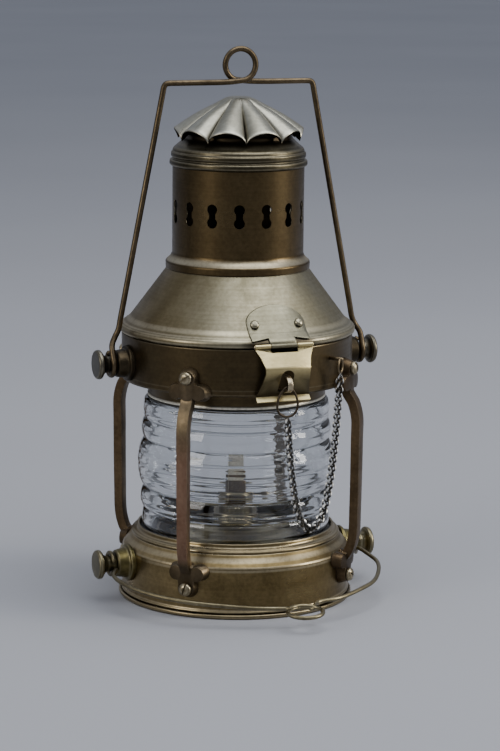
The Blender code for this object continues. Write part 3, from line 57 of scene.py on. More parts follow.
LOWER_PIVOT = 25.0


# Mesh helpers
def link(name, data):
    item = bpy.data.objects.new(name, data)
    bpy.context.scene.collection.objects.link(item)
    return item


def finish_mesh(work, name, smooth=True, sharp=40):
    bmesh.ops.remove_doubles(work, verts=work.verts, dist=0.000002)
    bmesh.ops.recalc_face_normals(work, faces=work.faces)
    mesh = bpy.data.meshes.new(name)
    work.to_mesh(mesh)
    work.free()
    if smooth:
        mesh.shade_smooth()
        mesh.set_sharp_from_angle(angle=math.radians(sharp))
    return link(name, mesh)


def rounded(points, steps=3):
    """Round each (r, z, radius) corner. Returns (r, z, wear_and_highlight): it is 1 on the rounded edge,
    where the finish puts a bright edge that is part rubbing and part painted highlight.
    """
    result = []
    for place, point in enumerate(points):
        here = Vector(point[:2])
        radius = point[2] if len(point) > 2 else 0
        if radius == 0:
            result.append((here.x, here.y, 0.0))
            continue
        before = Vector(points[place - 1][:2]) - here
        after = Vector(points[(place + 1) % len(points)][:2]) - here
        reach = min(radius, before.length * 0.45, after.length * 0.45)
        before.normalize()
        after.normalize()
        start, end = here + before * reach, here + after * reach
        support = reach * 0.3
        result.append((*(start + before * min(support, 0.2)), 0.0))
        for step in range(steps + 1):
            share = step / steps
            spot = start * (1 - share) ** 2 + here * 2 * share * (1 - share) + end * share ** 2
            result.append((spot.x, spot.y, 1.0 - abs(2 * share - 1) * 0.6))
        result.append((*(end + after * min(support, 0.2)), 0.0))
    return result


def bridge(work, first, second, shift=0):
    """Faces between two rings of vertices; either ring may be a single one."""
    for step in range(max(len(first), len(second))):
        ahead = step + 1
        corners = (first[step % len(first)], second[(step + shift) % len(second)],
                   second[(ahead + shift) % len(second)], first[ahead % len(first)])
        if len(set(corners)) > 2:
            work.faces.new(tuple(dict.fromkeys(corners)))


def turns_of(count):
    """Even turns round a circle, in radians."""
    return [math.tau * step / count for step in range(count)]


def lathe(name, points, steps=STEPS, sharp=60):
    """A turned piece from (r, z) or (r, z, wear_and_highlight) points; that mark, for bright edges that are
    part rubbing and part painted highlight, is kept as a point attribute.
    """
    work = bmesh.new()
    layer = work.verts.layers.float.new("wear_and_highlight")
    rings = []
    for radius, height, *wear_and_highlight in points:
        ring = []
        for turn in turns_of(steps) if radius else [0]:
            place = (radius * math.cos(turn), radius * math.sin(turn), height)
            vert = work.verts.new([value * MM for value in place])
            vert[layer] = wear_and_highlight[0] if wear_and_highlight else 0.0
            ring.append(vert)
        rings.append(ring)
    for first, second in zip(rings, rings[1:] + rings[:1]):
        bridge(work, first, second)
    return finish_mesh(work, name, sharp=sharp)


def turned(name, corners, steps=STEPS, sharp=60):
    return lathe(name, rounded(corners), steps, sharp)


def smooth_line(points, count, closed=False):
    """Catmull-Rom through the points, as evenly spaced places."""
    source = [Vector(point) for point in points]
    size = len(source)
    dense = []
    spans = size if closed else size - 1
    for span in range(spans):
        if closed:
            a, b, c, d = (source[(span + shift) % size] for shift in (-1, 0, 1, 2))
        else:
            a, b = source[max(span - 1, 0)], source[span]
            c, d = source[span + 1], source[min(span + 2, size - 1)]
        for step in range(16):
            t = step / 16
            dense.append(0.5 * ((2 * b) + (c - a) * t + (2 * a - 5 * b + 4 * c - d) * t * t
                                + (3 * b - a - 3 * c + d) * t ** 3))
    dense.append(source[0] if closed else source[-1])
    lengths = [0.0]
    for first, second in zip(dense, dense[1:]):
        lengths.append(lengths[-1] + (second - first).length)
    result = []
    place = 0
    for step in range(count):
        goal = lengths[-1] * step / (count if closed else count - 1)
        while place < len(lengths) - 2 and lengths[place + 1] < goal:
            place += 1
        run = lengths[place + 1] - lengths[place]
        share = 0 if run == 0 else (goal - lengths[place]) / run
        result.append(dense[place].lerp(dense[place + 1], min(share, 1)))
    return result


def tube(name, path, radius, closed=False, sides=12):
    """A wire along places in metres, with an even section and rounded ends."""
    work = bmesh.new()
    path = [Vector(place) for place in path]
    count = len(path)
    normal = None
    rings = []
    for place in range(count):
        if closed:
            along = path[(place + 1) % count] - path[place - 1]
        else:
            along = path[min(place + 1, count - 1)] - path[max(place - 1, 0)]
        along.normalize()
        if normal is None:
            normal = along.orthogonal().normalized()
        normal = (normal - along * normal.dot(along)).normalized()
        side = along.cross(normal)
        ring = []
        for turn in turns_of(sides):
            out = normal * math.cos(turn) + side * math.sin(turn)
            ring.append(work.verts.new(path[place] + out * radius))
        rings.append((ring, along))
    for place in range(count if closed else count - 1):
        first, second = rings[place][0], rings[(place + 1) % count][0]
        shift = 0
        if closed and place == count - 1:
            gaps = [sum((first[k].co - second[(k + s) % sides].co).length for k in range(sides))
                    for s in range(sides)]
            shift = gaps.index(min(gaps))
        bridge(work, first, second, shift)
    if not closed:
        for (ring, along), sign in ((rings[0], -1), (rings[-1], 1)):
            middle = sum((vert.co for vert in ring), Vector()) / sides
            push = along * sign * radius * 0.45
            inner = [work.verts.new(vert.co.lerp(middle, 0.4) + push) for vert in ring]
            bridge(work, ring, inner)
            work.faces.new(inner)
    return finish_mesh(work, name, sharp=70)


def prism(name, outline, low, high, to_frame=Matrix.Identity(4)):
    """A flat outline in millimetres, extruded from low to high along local Z."""
    work = bmesh.new()
    lower = [work.verts.new((x * MM, y * MM, low * MM)) for x, y in outline]
    upper = [work.verts.new((x * MM, y * MM, high * MM)) for x, y in outline]
    work.faces.new(lower[::-1])
    work.faces.new(upper)
    size = len(outline)
    for step in range(size):
        ahead = (step + 1) % size
        work.faces.new((lower[step], lower[ahead], upper[ahead], upper[step]))
    bmesh.ops.transform(work, matrix=to_frame, verts=work.verts)
    return finish_mesh(work, name, smooth=False)


def soften(item, width, segments=2, angle=35):
    """Round the sharp edges. The rounded faces take the second slot, which applied() reads as bright edges,
    part rubbing and part painted highlight.
    """
    while len(item.data.materials) < 2:
        item.data.materials.append(None)
    edge = item.modifiers.new("edge", "BEVEL")
    edge.material = 1
    edge.width = width * MM
    edge.segments = segments
    edge.limit_method = "ANGLE"
    edge.angle_limit = math.radians(angle)
    return item


def fade(value, start, end):
    return max(0.0, min(1.0, (value - start) / (end - start)))


def mark(mesh, name, value_of):
    """Write a corner attribute from a function of the face and the vertex's place."""
    if name in mesh.attributes:
        mesh.attributes.remove(mesh.attributes[name])
    layer = mesh.attributes.new(name, "FLOAT", "CORNER")
    for face in mesh.polygons:
        for corner in face.loop_indices:
            layer.data[corner].value = value_of(face, mesh.vertices[mesh.loops[corner].vertex_index].co)


def towards_left(face, place):
    """A mark that grows from the front round to the left-hand knobs, for painted light and shade on the left
    side of a piece.
    """
    return fade(math.atan2(-place.y, -place.x), 1.05, 0.35)


def applied(item, sharp=45):
    """The piece with its modifiers made real, shaded smooth."""
    graph = bpy.context.evaluated_depsgraph_get()
    mesh = bpy.data.meshes.new_from_object(item.evaluated_get(graph))
    name = item.name
    old = item.data
    item.modifiers.clear()
    item.data = mesh
    mesh.name = name
    if old.users == 0:
        bpy.data.meshes.remove(old)
    # Bevelled faces get the mark for bright edges: part rubbing, part painted highlight.
    if any(face.material_index == 1 for face in mesh.polygons):
        mark(mesh, "wear_and_highlight", lambda face, place: float(face.material_index == 1))
        for face in mesh.polygons:
            face.material_index = 0
    mesh.shade_smooth()
    mesh.set_sharp_from_angle(angle=math.radians(sharp))
    return item


def cut(item, other, operation="DIFFERENCE"):
    modifier = item.modifiers.new("cut", "BOOLEAN")
    modifier.operation = operation
    modifier.solver = "EXACT"
    modifier.object = other
    applied(item)
    bpy.data.objects.remove(other, do_unlink=True)
    return item


def merged(name, pieces):
    """Several meshes as one piece."""
    work = bmesh.new()
    for piece in pieces:
        work.from_mesh(piece.data)
    mesh = bpy.data.meshes.new(name)
    work.to_mesh(mesh)
    work.free()
    for piece in pieces:
        bpy.data.objects.remove(piece, do_unlink=True)
    mesh.shade_smooth()
    mesh.set_sharp_from_angle(angle=math.radians(50))
    return link(name, mesh)


def axes(across, up, out):
    return Matrix((across, up, out)).transposed().to_4x4()


FRONT = axes((1, 0, 0), (0, 0, 1), (0, -1, 0))
BACK = axes((-1, 0, 0), (0, 0, 1), (0, 1, 0))
SIDE = axes((0, 1, 0), (0, 0, 1), (1, 0, 0))


def arc(centre, radius, start, end, count):
    points = []
    for step in range(count):
        turn = math.radians(start + (end - start) * step / (count - 1))
        points.append((centre[0] + radius * math.cos(turn), centre[1] + radius * math.sin(turn)))
    return points


def level(turn, radius=1, height=0):
    return Vector((radius * math.cos(turn), radius * math.sin(turn), height))


def spin(degrees, axis="Z"):
    return Matrix.Rotation(math.radians(degrees), 4, axis)


def rectangle(left, low, right, high):
    return [(left, low), (right, low), (right, high), (left, high)]


def oblong(wide, deep):
    return rectangle(-wide, -deep, wide, deep)


def smooth_pairs(points, count):
    """smooth_line() for a flat outline."""
    return [(spot.x, spot.y) for spot in smooth_line([(x, y, 0) for x, y in points], count)]


def moved_out(outline, distance):
    moved = []
    for place in range(len(outline)):
        before = Vector(outline[max(place - 1, 0)][:2])
        after = Vector(outline[min(place + 1, len(outline) - 1)][:2])
        along = (after - before).normalized()
        moved.append((outline[place][0] - along.y * distance, outline[place][1] + along.x * distance))
    return moved


def ribbon(points, thickness):
    return moved_out(points, thickness / 2) + moved_out(points, -thickness / 2)[::-1]


def laid(item, place, turn=90):
    """Turn a piece from +Z to +X, or -X, and move it to a place in millimetres."""
    item.data.transform(spin(turn, "Y"))
    item.data.transform(Matrix.Translation([value * MM for value in place]))
    return item


# Materials
def nodes_of(name):
    """A new material, its tree, its shader and the piece's own coordinates."""
    finish = bpy.data.materials.new(name)
    finish.use_nodes = True
    tree = finish.node_tree
    place = tree.nodes.new("ShaderNodeTexCoord").outputs["Object"]
    return finish, tree, tree.nodes["Principled BSDF"], place


def noise(tree, vector, scale, detail=4.0, rough=0.55):
    node = tree.nodes.new("ShaderNodeTexNoise")
    node.inputs["Scale"].default_value = scale
    node.inputs["Detail"].default_value = detail
    node.inputs["Roughness"].default_value = rough
    tree.links.new(vector, node.inputs["Vector"])
    return node.outputs["Fac"]


def stretched(tree, vector, scale):
    node = tree.nodes.new("ShaderNodeMapping")
    node.inputs["Scale"].default_value = scale
    tree.links.new(vector, node.inputs["Vector"])
    return node.outputs["Vector"]


def spread(tree, value, low, high, out_low=0.0, out_high=1.0):
    node = tree.nodes.new("ShaderNodeMapRange")
    for key, number in (("From Min", low), ("From Max", high), ("To Min", out_low), ("To Max", out_high)):
        node.inputs[key].default_value = number
    tree.links.new(value, node.inputs["Value"])
    return node.outputs["Result"]


def maths(tree, operation, first, second):
    node = tree.nodes.new("ShaderNodeMath")
    node.operation = operation
    for socket, value in zip(node.inputs, (first, second)):
        if isinstance(value, (int, float)):
            socket.default_value = value
        else:
            tree.links.new(value, socket)
    return node.outputs["Value"]


def blend(tree, share, first, second):
    node = tree.nodes.new("ShaderNodeMix")
    node.data_type = "RGBA"
    tree.links.new(share, node.inputs["Factor"])
    for socket, value in ((node.inputs[6], first), (node.inputs[7], second)):
        if isinstance(value, tuple):
            socket.default_value = (*value, 1.0)
        else:
            tree.links.new(value, socket)
    return node.outputs[2]


# Pale colour for bright edges: part rubbing, part painted highlight.
WORN_AND_HIGHLIGHT = (0.60, 0.53, 0.37)
# Dark colour for painted shade in hollows, creases and under things.
PAINTED_SHADE_COLOUR = (0.030, 0.021, 0.012)


def attribute(tree, name):
    node = tree.nodes.new("ShaderNodeAttribute")
    node.attribute_name = name
    return node.outputs["Fac"]


LATHED = (7, 7, 900)
DRAWN = (160, 160, 30)
COARSE = (200, 200, 200)
FINE = (300, 300, 300)
AXIAL = (900, 40, 40)
BLOTCH_SHARE = 0.45


def bumped(finish, height, strength, depth):
    """The finish with a bump, its depth in millimetres."""
    tree = finish.node_tree
    bump = tree.nodes.new("ShaderNodeBump")
    bump.inputs["Strength"].default_value = strength
    bump.inputs["Distance"].default_value = depth * MM
    tree.links.new(height, bump.inputs["Height"])
    tree.links.new(bump.outputs["Normal"], tree.nodes["Principled BSDF"].inputs["Normal"])
    return finish


def brass(name, dark, light, rough, wear_and_highlight, streak=0.3, stretch=LATHED, worn_and_highlight=WORN_AND_HIGHLIGHT, painted_side_light_and_tone=None):
    """Patinated brass: blotches, fine lathe lines, mottling, bright edges that are part rubbing and part
    painted highlight, and painted shade in hollows and on faces turned from the light.

    The painted_side_light_and_tone is a second dark and light pair, mixed in where the piece's own mark of
    that name says so: painted lighter and warmer on the left of the base, painted darker and browner on the
    left of the cone, and a reddish tone lower down on the front-left upright.
    """
    finish, tree, shader, place = nodes_of(name)
    blotch = spread(tree, noise(tree, place, 38, 6, 0.62), 0.36, 0.66)
    mottle = noise(tree, place, 420, 5, 0.6)
    lines = noise(tree, stretched(tree, place, stretch), 1.0, 5, 0.65)
    fine = noise(tree, stretched(tree, place, tuple(value * 3.1 for value in stretch)), 1.0, 3, 0.6)
    tone = maths(tree, "MULTIPLY", blotch, BLOTCH_SHARE)
    tone = maths(tree, "ADD", tone, spread(tree, lines, 0.36, 0.68, -0.35 * streak, 0.50 * streak))
    tone = maths(tree, "ADD", tone, spread(tree, mottle, 0.35, 0.65, -0.10, 0.14))
    tone = spread(tree, tone, 0.0, 1.0)
    colour = blend(tree, tone, dark, light)
    # Painted light and shade on one side of some pieces, and a reddish tone on the front-left upright.
    if painted_side_light_and_tone:
        colour = blend(tree, attribute(tree, "painted_side_light_and_tone"), colour, blend(tree, tone, *painted_side_light_and_tone))
    # Bright edges where the piece's mark says: part rubbing, part painted highlight.
    rubbed_and_highlight = maths(tree, "MULTIPLY", attribute(tree, "wear_and_highlight"), spread(tree, mottle, 0.34, 0.52, 0.7, 1.0))
    rubbed_and_highlight = maths(tree, "MULTIPLY", rubbed_and_highlight, wear_and_highlight)
    colour = blend(tree, rubbed_and_highlight, colour, worn_and_highlight)
    # Painted shade: darkened where the piece's mark says, standing in for shade in hollows, under things and
    # on faces turned from the light.
    colour = blend(tree, attribute(tree, "painted_shade"), colour, PAINTED_SHADE_COLOUR)
    tree.links.new(colour, shader.inputs["Base Color"])
    shader.inputs["Metallic"].default_value = 1.0
    gloss = maths(tree, "ADD", maths(tree, "MULTIPLY", blotch, 0.5), maths(tree, "MULTIPLY", lines, 0.6))
    gloss = spread(tree, gloss, 0.2, 0.8, rough + 0.10, rough - 0.08)
    tree.links.new(gloss, shader.inputs["Roughness"])
    grooves = maths(tree, "MULTIPLY", fine, 0.7 * streak)
    height = maths(tree, "ADD", grooves, maths(tree, "MULTIPLY", mottle, 0.6))
    return bumped(finish, height, 0.35, 0.12)


def glass():
    finish, tree, shader, place = nodes_of("lens_glass_clear")
    shader.inputs["Base Color"].default_value = (0.875, 0.895, 0.91, 1.0)
    shader.inputs["Transmission Weight"].default_value = 1.0
    shader.inputs["IOR"].default_value = 1.48
    tree.links.new(spread(tree, noise(tree, place, 60), 0.4, 0.7, 0.01, 0.05), shader.inputs["Roughness"])
    return bumped(finish, noise(tree, stretched(tree, place, (14, 14, 70)), 1.0, 2), 0.4, 0.6)


def plain(name, dark, light, rough, scale, depth=0.05):
    finish, tree, shader, place = nodes_of(name)
    grain = noise(tree, place, scale, 5)
    tree.links.new(blend(tree, spread(tree, grain, 0.3, 0.7), dark, light), shader.inputs["Base Color"])
    tree.links.new(spread(tree, grain, 0.3, 0.7, rough - 0.08, rough + 0.08), shader.inputs["Roughness"])
    return bumped(finish, grain, 0.5, depth)


BRONZE = ((0.052, 0.038, 0.020), (0.122, 0.088, 0.042))
BAND = brass("band_bronze", *BRONZE, 0.37, 0.1, 0.15)
# Band bronze with strong pale edges: part rubbing, part painted highlight.
EDGE = brass("retainer_bronze", *BRONZE, 0.37, 1.0, 0.15, worn_and_highlight=(0.72, 0.68, 0.56))
CHIMNEY = brass("chimney_bronze", (0.062, 0.043, 0.020), (0.155, 0.110, 0.052), 0.35, 0.9, 0.2)
CAP = brass("cap_bronze", (0.042, 0.035, 0.020), (0.112, 0.094, 0.056), 0.33, 0.2, 0.2)
BASE = brass("base_bronze", (0.112, 0.082, 0.036), (0.290, 0.212, 0.094), 0.34, 0.4, 0.15,
             painted_side_light_and_tone=((0.185, 0.138, 0.066), (0.450, 0.340, 0.165)))
CONE = brass("cone_bronze", (0.155, 0.137, 0.086), (0.350, 0.318, 0.222), 0.36, 0.4, 0.2,
             painted_side_light_and_tone=((0.115, 0.088, 0.042), (0.240, 0.190, 0.100)))
LEAF = brass("leaf_bronze", (0.145, 0.132, 0.086), (0.300, 0.280, 0.198), 0.34, 0.5, 0.2)
SAGE = brass("crown_bronze", (0.225, 0.215, 0.170), (0.440, 0.425, 0.350), 0.38, 0.6, 0.2, (120, 120, 120),
             worn_and_highlight=(0.62, 0.60, 0.50))
CAST = brass("cast_bronze", (0.062, 0.042, 0.023), (0.190, 0.128, 0.070), 0.42, 0.8, stretch=DRAWN)
RUDDY = brass("ruddy_bronze", (0.110, 0.083, 0.048), (0.260, 0.198, 0.122), 0.42, 0.7, stretch=DRAWN,
              painted_side_light_and_tone=((0.150, 0.088, 0.058), (0.310, 0.195, 0.132)))
BOSS = brass("boss_dark", (0.026, 0.020, 0.012), (0.066, 0.050, 0.030), 0.44, 0.0, 0.45, COARSE)
BOSS_GOLD = brass("boss_gold", (0.095, 0.078, 0.030), (0.235, 0.195, 0.078), 0.36, 0.15, 0.45, COARSE)
KNOB = brass("knob_dark", (0.040, 0.037, 0.029), (0.120, 0.110, 0.088), 0.35, 0.25, stretch=AXIAL)
KNOB_GOLD = brass("knob_gold", (0.085, 0.072, 0.036), (0.215, 0.185, 0.098), 0.35, 0.3, stretch=AXIAL)
WIRE = brass("wire_dark", (0.062, 0.046, 0.027), (0.180, 0.135, 0.080), 0.38, 0.5, stretch=(200, 200, 60))
HANDLE = brass("wire_gold", (0.120, 0.100, 0.058), (0.320, 0.275, 0.165), 0.36, 0.5, stretch=COARSE)
GOLD = brass("leaf_brass", (0.44, 0.360, 0.175), (0.68, 0.57, 0.31), 0.33, 0.6, 0.25, (30, 30, 600),
             worn_and_highlight=(0.84, 0.76, 0.52))
SCREW = brass("screw_brass", (0.150, 0.120, 0.070), (0.360, 0.300, 0.195), 0.30, 0.5, 0.2, FINE)
WORN_BRASS = brass("worn_brass", (0.300, 0.240, 0.150), (0.580, 0.500, 0.350), 0.32, 0.7, stretch=FINE,
                   worn_and_highlight=(0.75, 0.66, 0.48))
BURNER = brass("burner_brass", (0.150, 0.120, 0.060), (0.380, 0.310, 0.170), 0.36, 0.6, stretch=(60, 60, 600))
DARK = brass("dark_wire", (0.040, 0.030, 0.020), (0.130, 0.100, 0.065), 0.36, 0.5, stretch=FINE)
CHAIN = brass("chain_bronze", (0.030, 0.027, 0.022), (0.105, 0.095, 0.078), 0.30, 1.0,
              stretch=(500, 500, 500), worn_and_highlight=(0.95, 0.93, 0.88))
GLASS = glass()
RUBBER = plain("gasket_rubber", (0.012, 0.012, 0.012), (0.035, 0.034, 0.033), 0.75, 300)
COTTON = plain("wick_cotton", (0.48, 0.44, 0.36), (0.72, 0.68, 0.58), 0.9, 900, 0.2)


def dress(item, finish, body, slot, *nodes):
    """Give a piece its finish, the body that it rides on and the nodes that it stands for."""
    item.data.materials.clear()
    item.data.materials.append(finish)
    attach(item, body)
    if nodes:
        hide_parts(*nodes)


# Base
plate = turned("base_plate_skin", [
    (0, 1.2), (74.2, 1.2, 0.4), (74.6, 3.1, 0.8), (75.8, 2.8, 1.2), (76.0, 1.2, 1.2), (75.2, 0.0, 0.8),
    (0, 0)])
# Painted light: the left side of the base plate lighter and warmer.
mark(plate.data, "painted_side_light_and_tone", towards_left)
dress(plate, BASE, "lantern", "body_brass", "base_plate")
drum = turned("base_drum_skin", [
    (62, 40.2), (67.5, 40.2, 0.6), (69.9, 36.6, 4.0), (73.4, 32.5, 1.0), (DRUM_RADIUS, 30.6, 1.0),
    (DRUM_RADIUS, 5.4, 0.6), (74.2, 4.4, 0.8), (74.2, 3.5, 0.4), (72.6, 3.5), (72.6, 30.2, 2.0),
    (67.0, 38.0, 2.0), (62, 39.2)])
# Painted light: the left side of the drum lighter and warmer.
mark(drum.data, "painted_side_light_and_tone", towards_left)
dress(drum, BASE, "lantern", "body_brass", "base_drum")
seat = turned("lens_seat_skin", [
    (64.0, 46.0, 0.6), (64.5, 43.3, 0.9), (66.4, 42.8, 1.0), (67.6, 41.6, 1.1), (67.6, 40.5), (50.5, 40.5),
    (50.5, 41.7), (62.4, 41.7), (62.4, 46.0, 0.6)])
dress(seat, BASE, "lantern", "body_brass", "lens_seat_ring")


# Lens
RIBS = [(60.2, 129.0, 115.6), (61.4, 115.6, 102.8), (63.7, 102.8, 70.9), (62.0, 70.9, 56.9),
        (60.9, 56.9, 43.4)]
GROOVE = 58.9


def ripple(height):
    """The faint uneven rings that pressed glass keeps from its mould."""
    return 0.09 * math.sin(0.93 * height) + 0.05 * math.sin(1.71 * height + 1)


def lens_line():
    """The ribbed outside, and a bore that follows the ribs a little less deeply."""
    outer = [(GROOVE - 0.3, 129.0)]
    inner = [(GROOVE - 3.4, 129.0)]
    for out, top, low in RIBS:
        count = round((top - low) / 0.7)
        for step in range(1, count + 1):
            share = step / count
            height = top + (low - top) * share
            bulge = (out - GROOVE) * (1 - abs(2 * share - 1) ** 2.3) ** 0.64
            outer.append((GROOVE + bulge + ripple(height), height))
            inner.append((GROOVE - 3.4 + 0.88 * bulge + 0.6 * ripple(height + 9), height))
    return outer + inner[::-1]


lens = lathe("lens_glass_skin", lens_line(), sharp=75)
dress(lens, GLASS, "lantern", "lens_glass", "lens_glass")
for name, outer, low in (("lens_gasket_lower", 62.0, 42.0), ("lens_gasket_upper", 57.6, 129.5)):
    section = [(outer, low + 1.0, 0.4), (outer, low, 0.4), (52.1, low), (52.1, low + 1.0)]
    dress(turned(name + "_skin", section), RUBBER, "lantern", "gasket_rubber", name)

# Retainer and band
retainer = turned("lens_retainer_skin", [
    (57.6, 141.9), (57.6, 139.0, 0.5), (57.2, 138.2, 0.5), (57.2, 133.0, 0.5), (57.6, 132.2, 0.6),
    (57.6, 130.8, 0.5), (51.6, 130.8), (51.6, 131.8), (56.6, 131.8), (56.6, 141.9)])
# A bright lower lip: part rubbing, part painted highlight.
mark(retainer.data, "wear_and_highlight", lambda face, place: fade(place.z / MM, 133.0, 132.2))
dress(retainer, EDGE, "lantern", "body_brass", "lens_retainer_ring")
band = turned("upper_band_skin", [
    (71.5, 172.5), (73.4, 172.5, 0.6), (BAND_RADIUS, 171.8, 0.6), (BAND_RADIUS, 146.0, 0.4),
    (BAND_RADIUS, 143.2, 0.5), (73.7, 142.2, 0.6), (55.5, 142.2), (55.5, 143.2), (73.3, 143.2),
    (73.3, 171.5), (71.5, 171.5)])
dress(band, BAND, "lantern", "body_brass", "upper_band")

# Hood
cone = turned("hood_cone_skin", [
    (43.5, 215.0), (43.9, 214.5, 0.4), (45.4, 213.7, 0.6), (69.6, 181.2, 3.0), (73.2, 178.6, 1.8),
    (74.6, 177.6, 1.0), (75.8, 176.2, 1.2), (75.8, 173.9, 0.8), (75.0, 172.8, 0.6), (71.8, 172.8),
    (71.8, 173.8), (74.7, 174.0), (74.6, 175.6), (72.4, 177.6), (68.8, 180.4), (44.5, 213.0), (42.5, 214.2),
    (42.5, 215.0)])
# Painted shade in the gap behind the hasp, on the lip under the leaf's knuckle.
mark(cone.data, "painted_shade", lambda face, place:
     0.85 * fade(place.z / MM, 181.0, 178.4) * fade(-place.y / MM, 70.5, 72.8))
# Painted shade: the left side of the cone darker and browner.
mark(cone.data, "painted_side_light_and_tone", towards_left)
dress(cone, CONE, "hood", "body_brass", "hood_cone")


VENTS = 15
VENT_Z = 250.5
VENT_R = 3.4
VENT_RISE = 4.2


def vent_outline():
    """A keyhole of two round holes that meet in a waist."""
    waist = math.degrees(math.asin(2.2 / VENT_R))
    upper = arc((0, VENT_RISE), VENT_R, -90 + waist, 270 - waist, 22)
    lower = arc((0, -VENT_RISE), VENT_R, 90 + waist, 450 - waist, 22)
    return upper + lower


tube_skin = turned("chimney_skin", [
    (42.1, 278.6), (42.1, 223.2, 0.8), (43.4, 220.6, 1.8), (45.9, 218.5, 1.0), (46.3, 217.6, 0.6),
    (46.2, 213.9, 0.4), (45.8, 213.6), (45.6, 214.8), (44.9, 215.2), (41.3, 215.2),
    (41.3, 278.6)], steps=180)
vents = []
lift = Matrix.Translation((0, 0, VENT_Z * MM))
for number in range(VENTS):
    turn = spin(-20.75 + 360 / VENTS * number)
    vents.append(prism("vent", vent_outline(), 38.5, 46, turn @ lift @ FRONT))
cut(tube_skin, merged("vents", vents))
# Painted shade on the inside wall of the chimney.
mark(tube_skin.data, "painted_shade", lambda face, place: fade(place.xy.length / MM, 41.9, 41.5))
# Painted highlight, partly rubbing: a pale band round the flare above the collar, and bright walls in the
# vents.
mark(tube_skin.data, "wear_and_highlight", lambda face, place:
     0.55 * fade(place.z / MM, 218.3, 219.0) * fade(place.z / MM, 223.0, 221.0) if place.z < 0.23 else
     float(place.z < 0.262 and abs(face.normal.xy.normalized().dot(place.xy.normalized())) < 0.5))
dress(tube_skin, CHIMNEY, "hood", "body_brass", "chimney")
cap = turned("chimney_cap_skin", [
    (33.0, 299.2), (34.0, 299.2, 0.5), (34.3, 296.8, 1.4), (37.6, 293.6, 3.5), (41.6, 290.3, 3.0),
    (42.2, 288.2, 1.0), (43.0, 287.5, 0.9), (43.1, 284.9, 1.0), (42.0, 284.1, 0.5), (42.1, 283.4, 0.4),
    (43.9, 282.8, 1.0), (44.1, 280.0, 1.0), (43.2, 279.1, 0.6), (42.1, 278.9), (41.1, 278.9), (41.1, 286.0),
    (38.0, 289.0), (33.0, 293.6)])
# Painted shade on the top of the cap, under the crown.
mark(cap.data, "painted_shade", lambda face, place: 0.9 * fade(place.z / MM, 292.2, 295.5))
dress(cap, CAP, "hood", "body_brass", "chimney_cap")


# Crown
CROWN_LOBES = 10
CROWN_TURN = -15
CROWN_TOP_Z = 322.5
CROWN_FLAT_R = 15.4
KNEE = 0.28
ARCH_R, ARCH_Z = 41.4, 303.2
VALLEY_R, VALLEY_Z = 39.5, 296.1


def flute(turn):
    """1 on the crest of a lobe and 0 in the valley between two."""
    return abs(math.sin(turn * CROWN_LOBES / 2)) ** 0.5


def crown_point(turn, share, lift):
    """A place on the fluted cover: a flat middle, then flutes with sharp valleys down to the edge."""
    arch = flute(turn)
    if share < KNEE:
        radius = CROWN_FLAT_R * share / KNEE
        dip = max(0.0, (radius - 7.0) / 8.4)
        return radius, CROWN_TOP_Z - 4.1 * dip ** 1.15 - 1.3 * (1 - arch) * dip - lift
    outer = (share - KNEE) / (1 - KNEE)
    edge = VALLEY_R + (ARCH_R - VALLEY_R) * arch
    arch_z = 318.4 - (318.4 - ARCH_Z) * outer + 0.9 * math.sin(math.pi * outer)
    valley_z = 317.1 - (317.1 - VALLEY_Z) * outer
    return CROWN_FLAT_R + (edge - CROWN_FLAT_R) * outer, valley_z + (arch_z - valley_z) * arch - lift


def crown():
    work = bmesh.new()
    layer = work.verts.layers.float.new("wear_and_highlight")
    painted_shade = work.verts.layers.float.new("painted_shade")
    around, rows = 240, 26
    edges = []
    for lift in (0.0, 0.8):
        before = [work.verts.new((0, 0, (CROWN_TOP_Z - lift) * MM))]
        for row in range(1, rows + 1):
            ring = []
            for turn in turns_of(around):
                radius, height = crown_point(turn, row / rows, lift)
                heading = turn + math.radians(CROWN_TURN - 90)
                place = (radius * math.cos(heading), radius * math.sin(heading), height)
                vert = work.verts.new([value * MM for value in place])
                # A bright rim at the edge: part rubbing, part painted highlight.
                vert[layer] = fade(row / rows, 0.94, 1.0)
                # Painted shade in the creases between the flutes and over the whole underside.
                crease = (1 - flute(turn)) ** 2.2
                vert[painted_shade] = 1.0 if lift else 0.9 * crease * fade(row / rows, 0.25, 0.7)
                ring.append(vert)
            bridge(work, before, ring)
            before = ring
        edges.append(before)
    bridge(work, *edges)
    return finish_mesh(work, "crown_skin", sharp=80)


dress(crown(), SAGE, "hood", "pale_brass", "crown")


# Uprights and their screws
def lobed(lobes, centre, count):
    outline = []
    for turn in turns_of(count):
        ray = Vector((math.cos(turn), math.sin(turn)))
        reach = 0
        for across, height, radius in lobes:
            to_lobe = Vector((across - centre[0], height - centre[1]))
            along = to_lobe.dot(ray)
            inside = radius ** 2 - to_lobe.length_squared + along ** 2
            if inside > 0:
                reach = max(reach, along + math.sqrt(inside))
        outline.append((centre[0] + reach * ray.x, centre[1] + reach * ray.y))
    return outline


def foot(name, radius, screw_z, lobe_z, aside):
    lobes = [(0, screw_z, 6.3), (0, lobe_z, 6.3), (0, (screw_z + lobe_z) / 2, 6.3)]
    lobes += [(-aside, lobe_z, 5.4), (aside, lobe_z, 5.4)]
    middle = (screw_z + 2 * lobe_z) / 3
    outline = lobed(lobes, (0, middle), 72)
    plate = prism(name, outline, radius - 6, radius + 12, SIDE)
    for vertex in plate.data.vertices:
        share = 1 - 0.14 * (vertex.co.x / MM - radius) / 5.5
        vertex.co.y *= share
        vertex.co.z = middle * MM + (vertex.co.z - middle * MM) * share
    low, high = min(z for x, z in outline) - 6, max(z for x, z in outline) + 6
    shell = lathe(name + "_shell", rectangle(radius, low, radius + 5.5, high), steps=96)
    return cut(plate, shell, "INTERSECT")


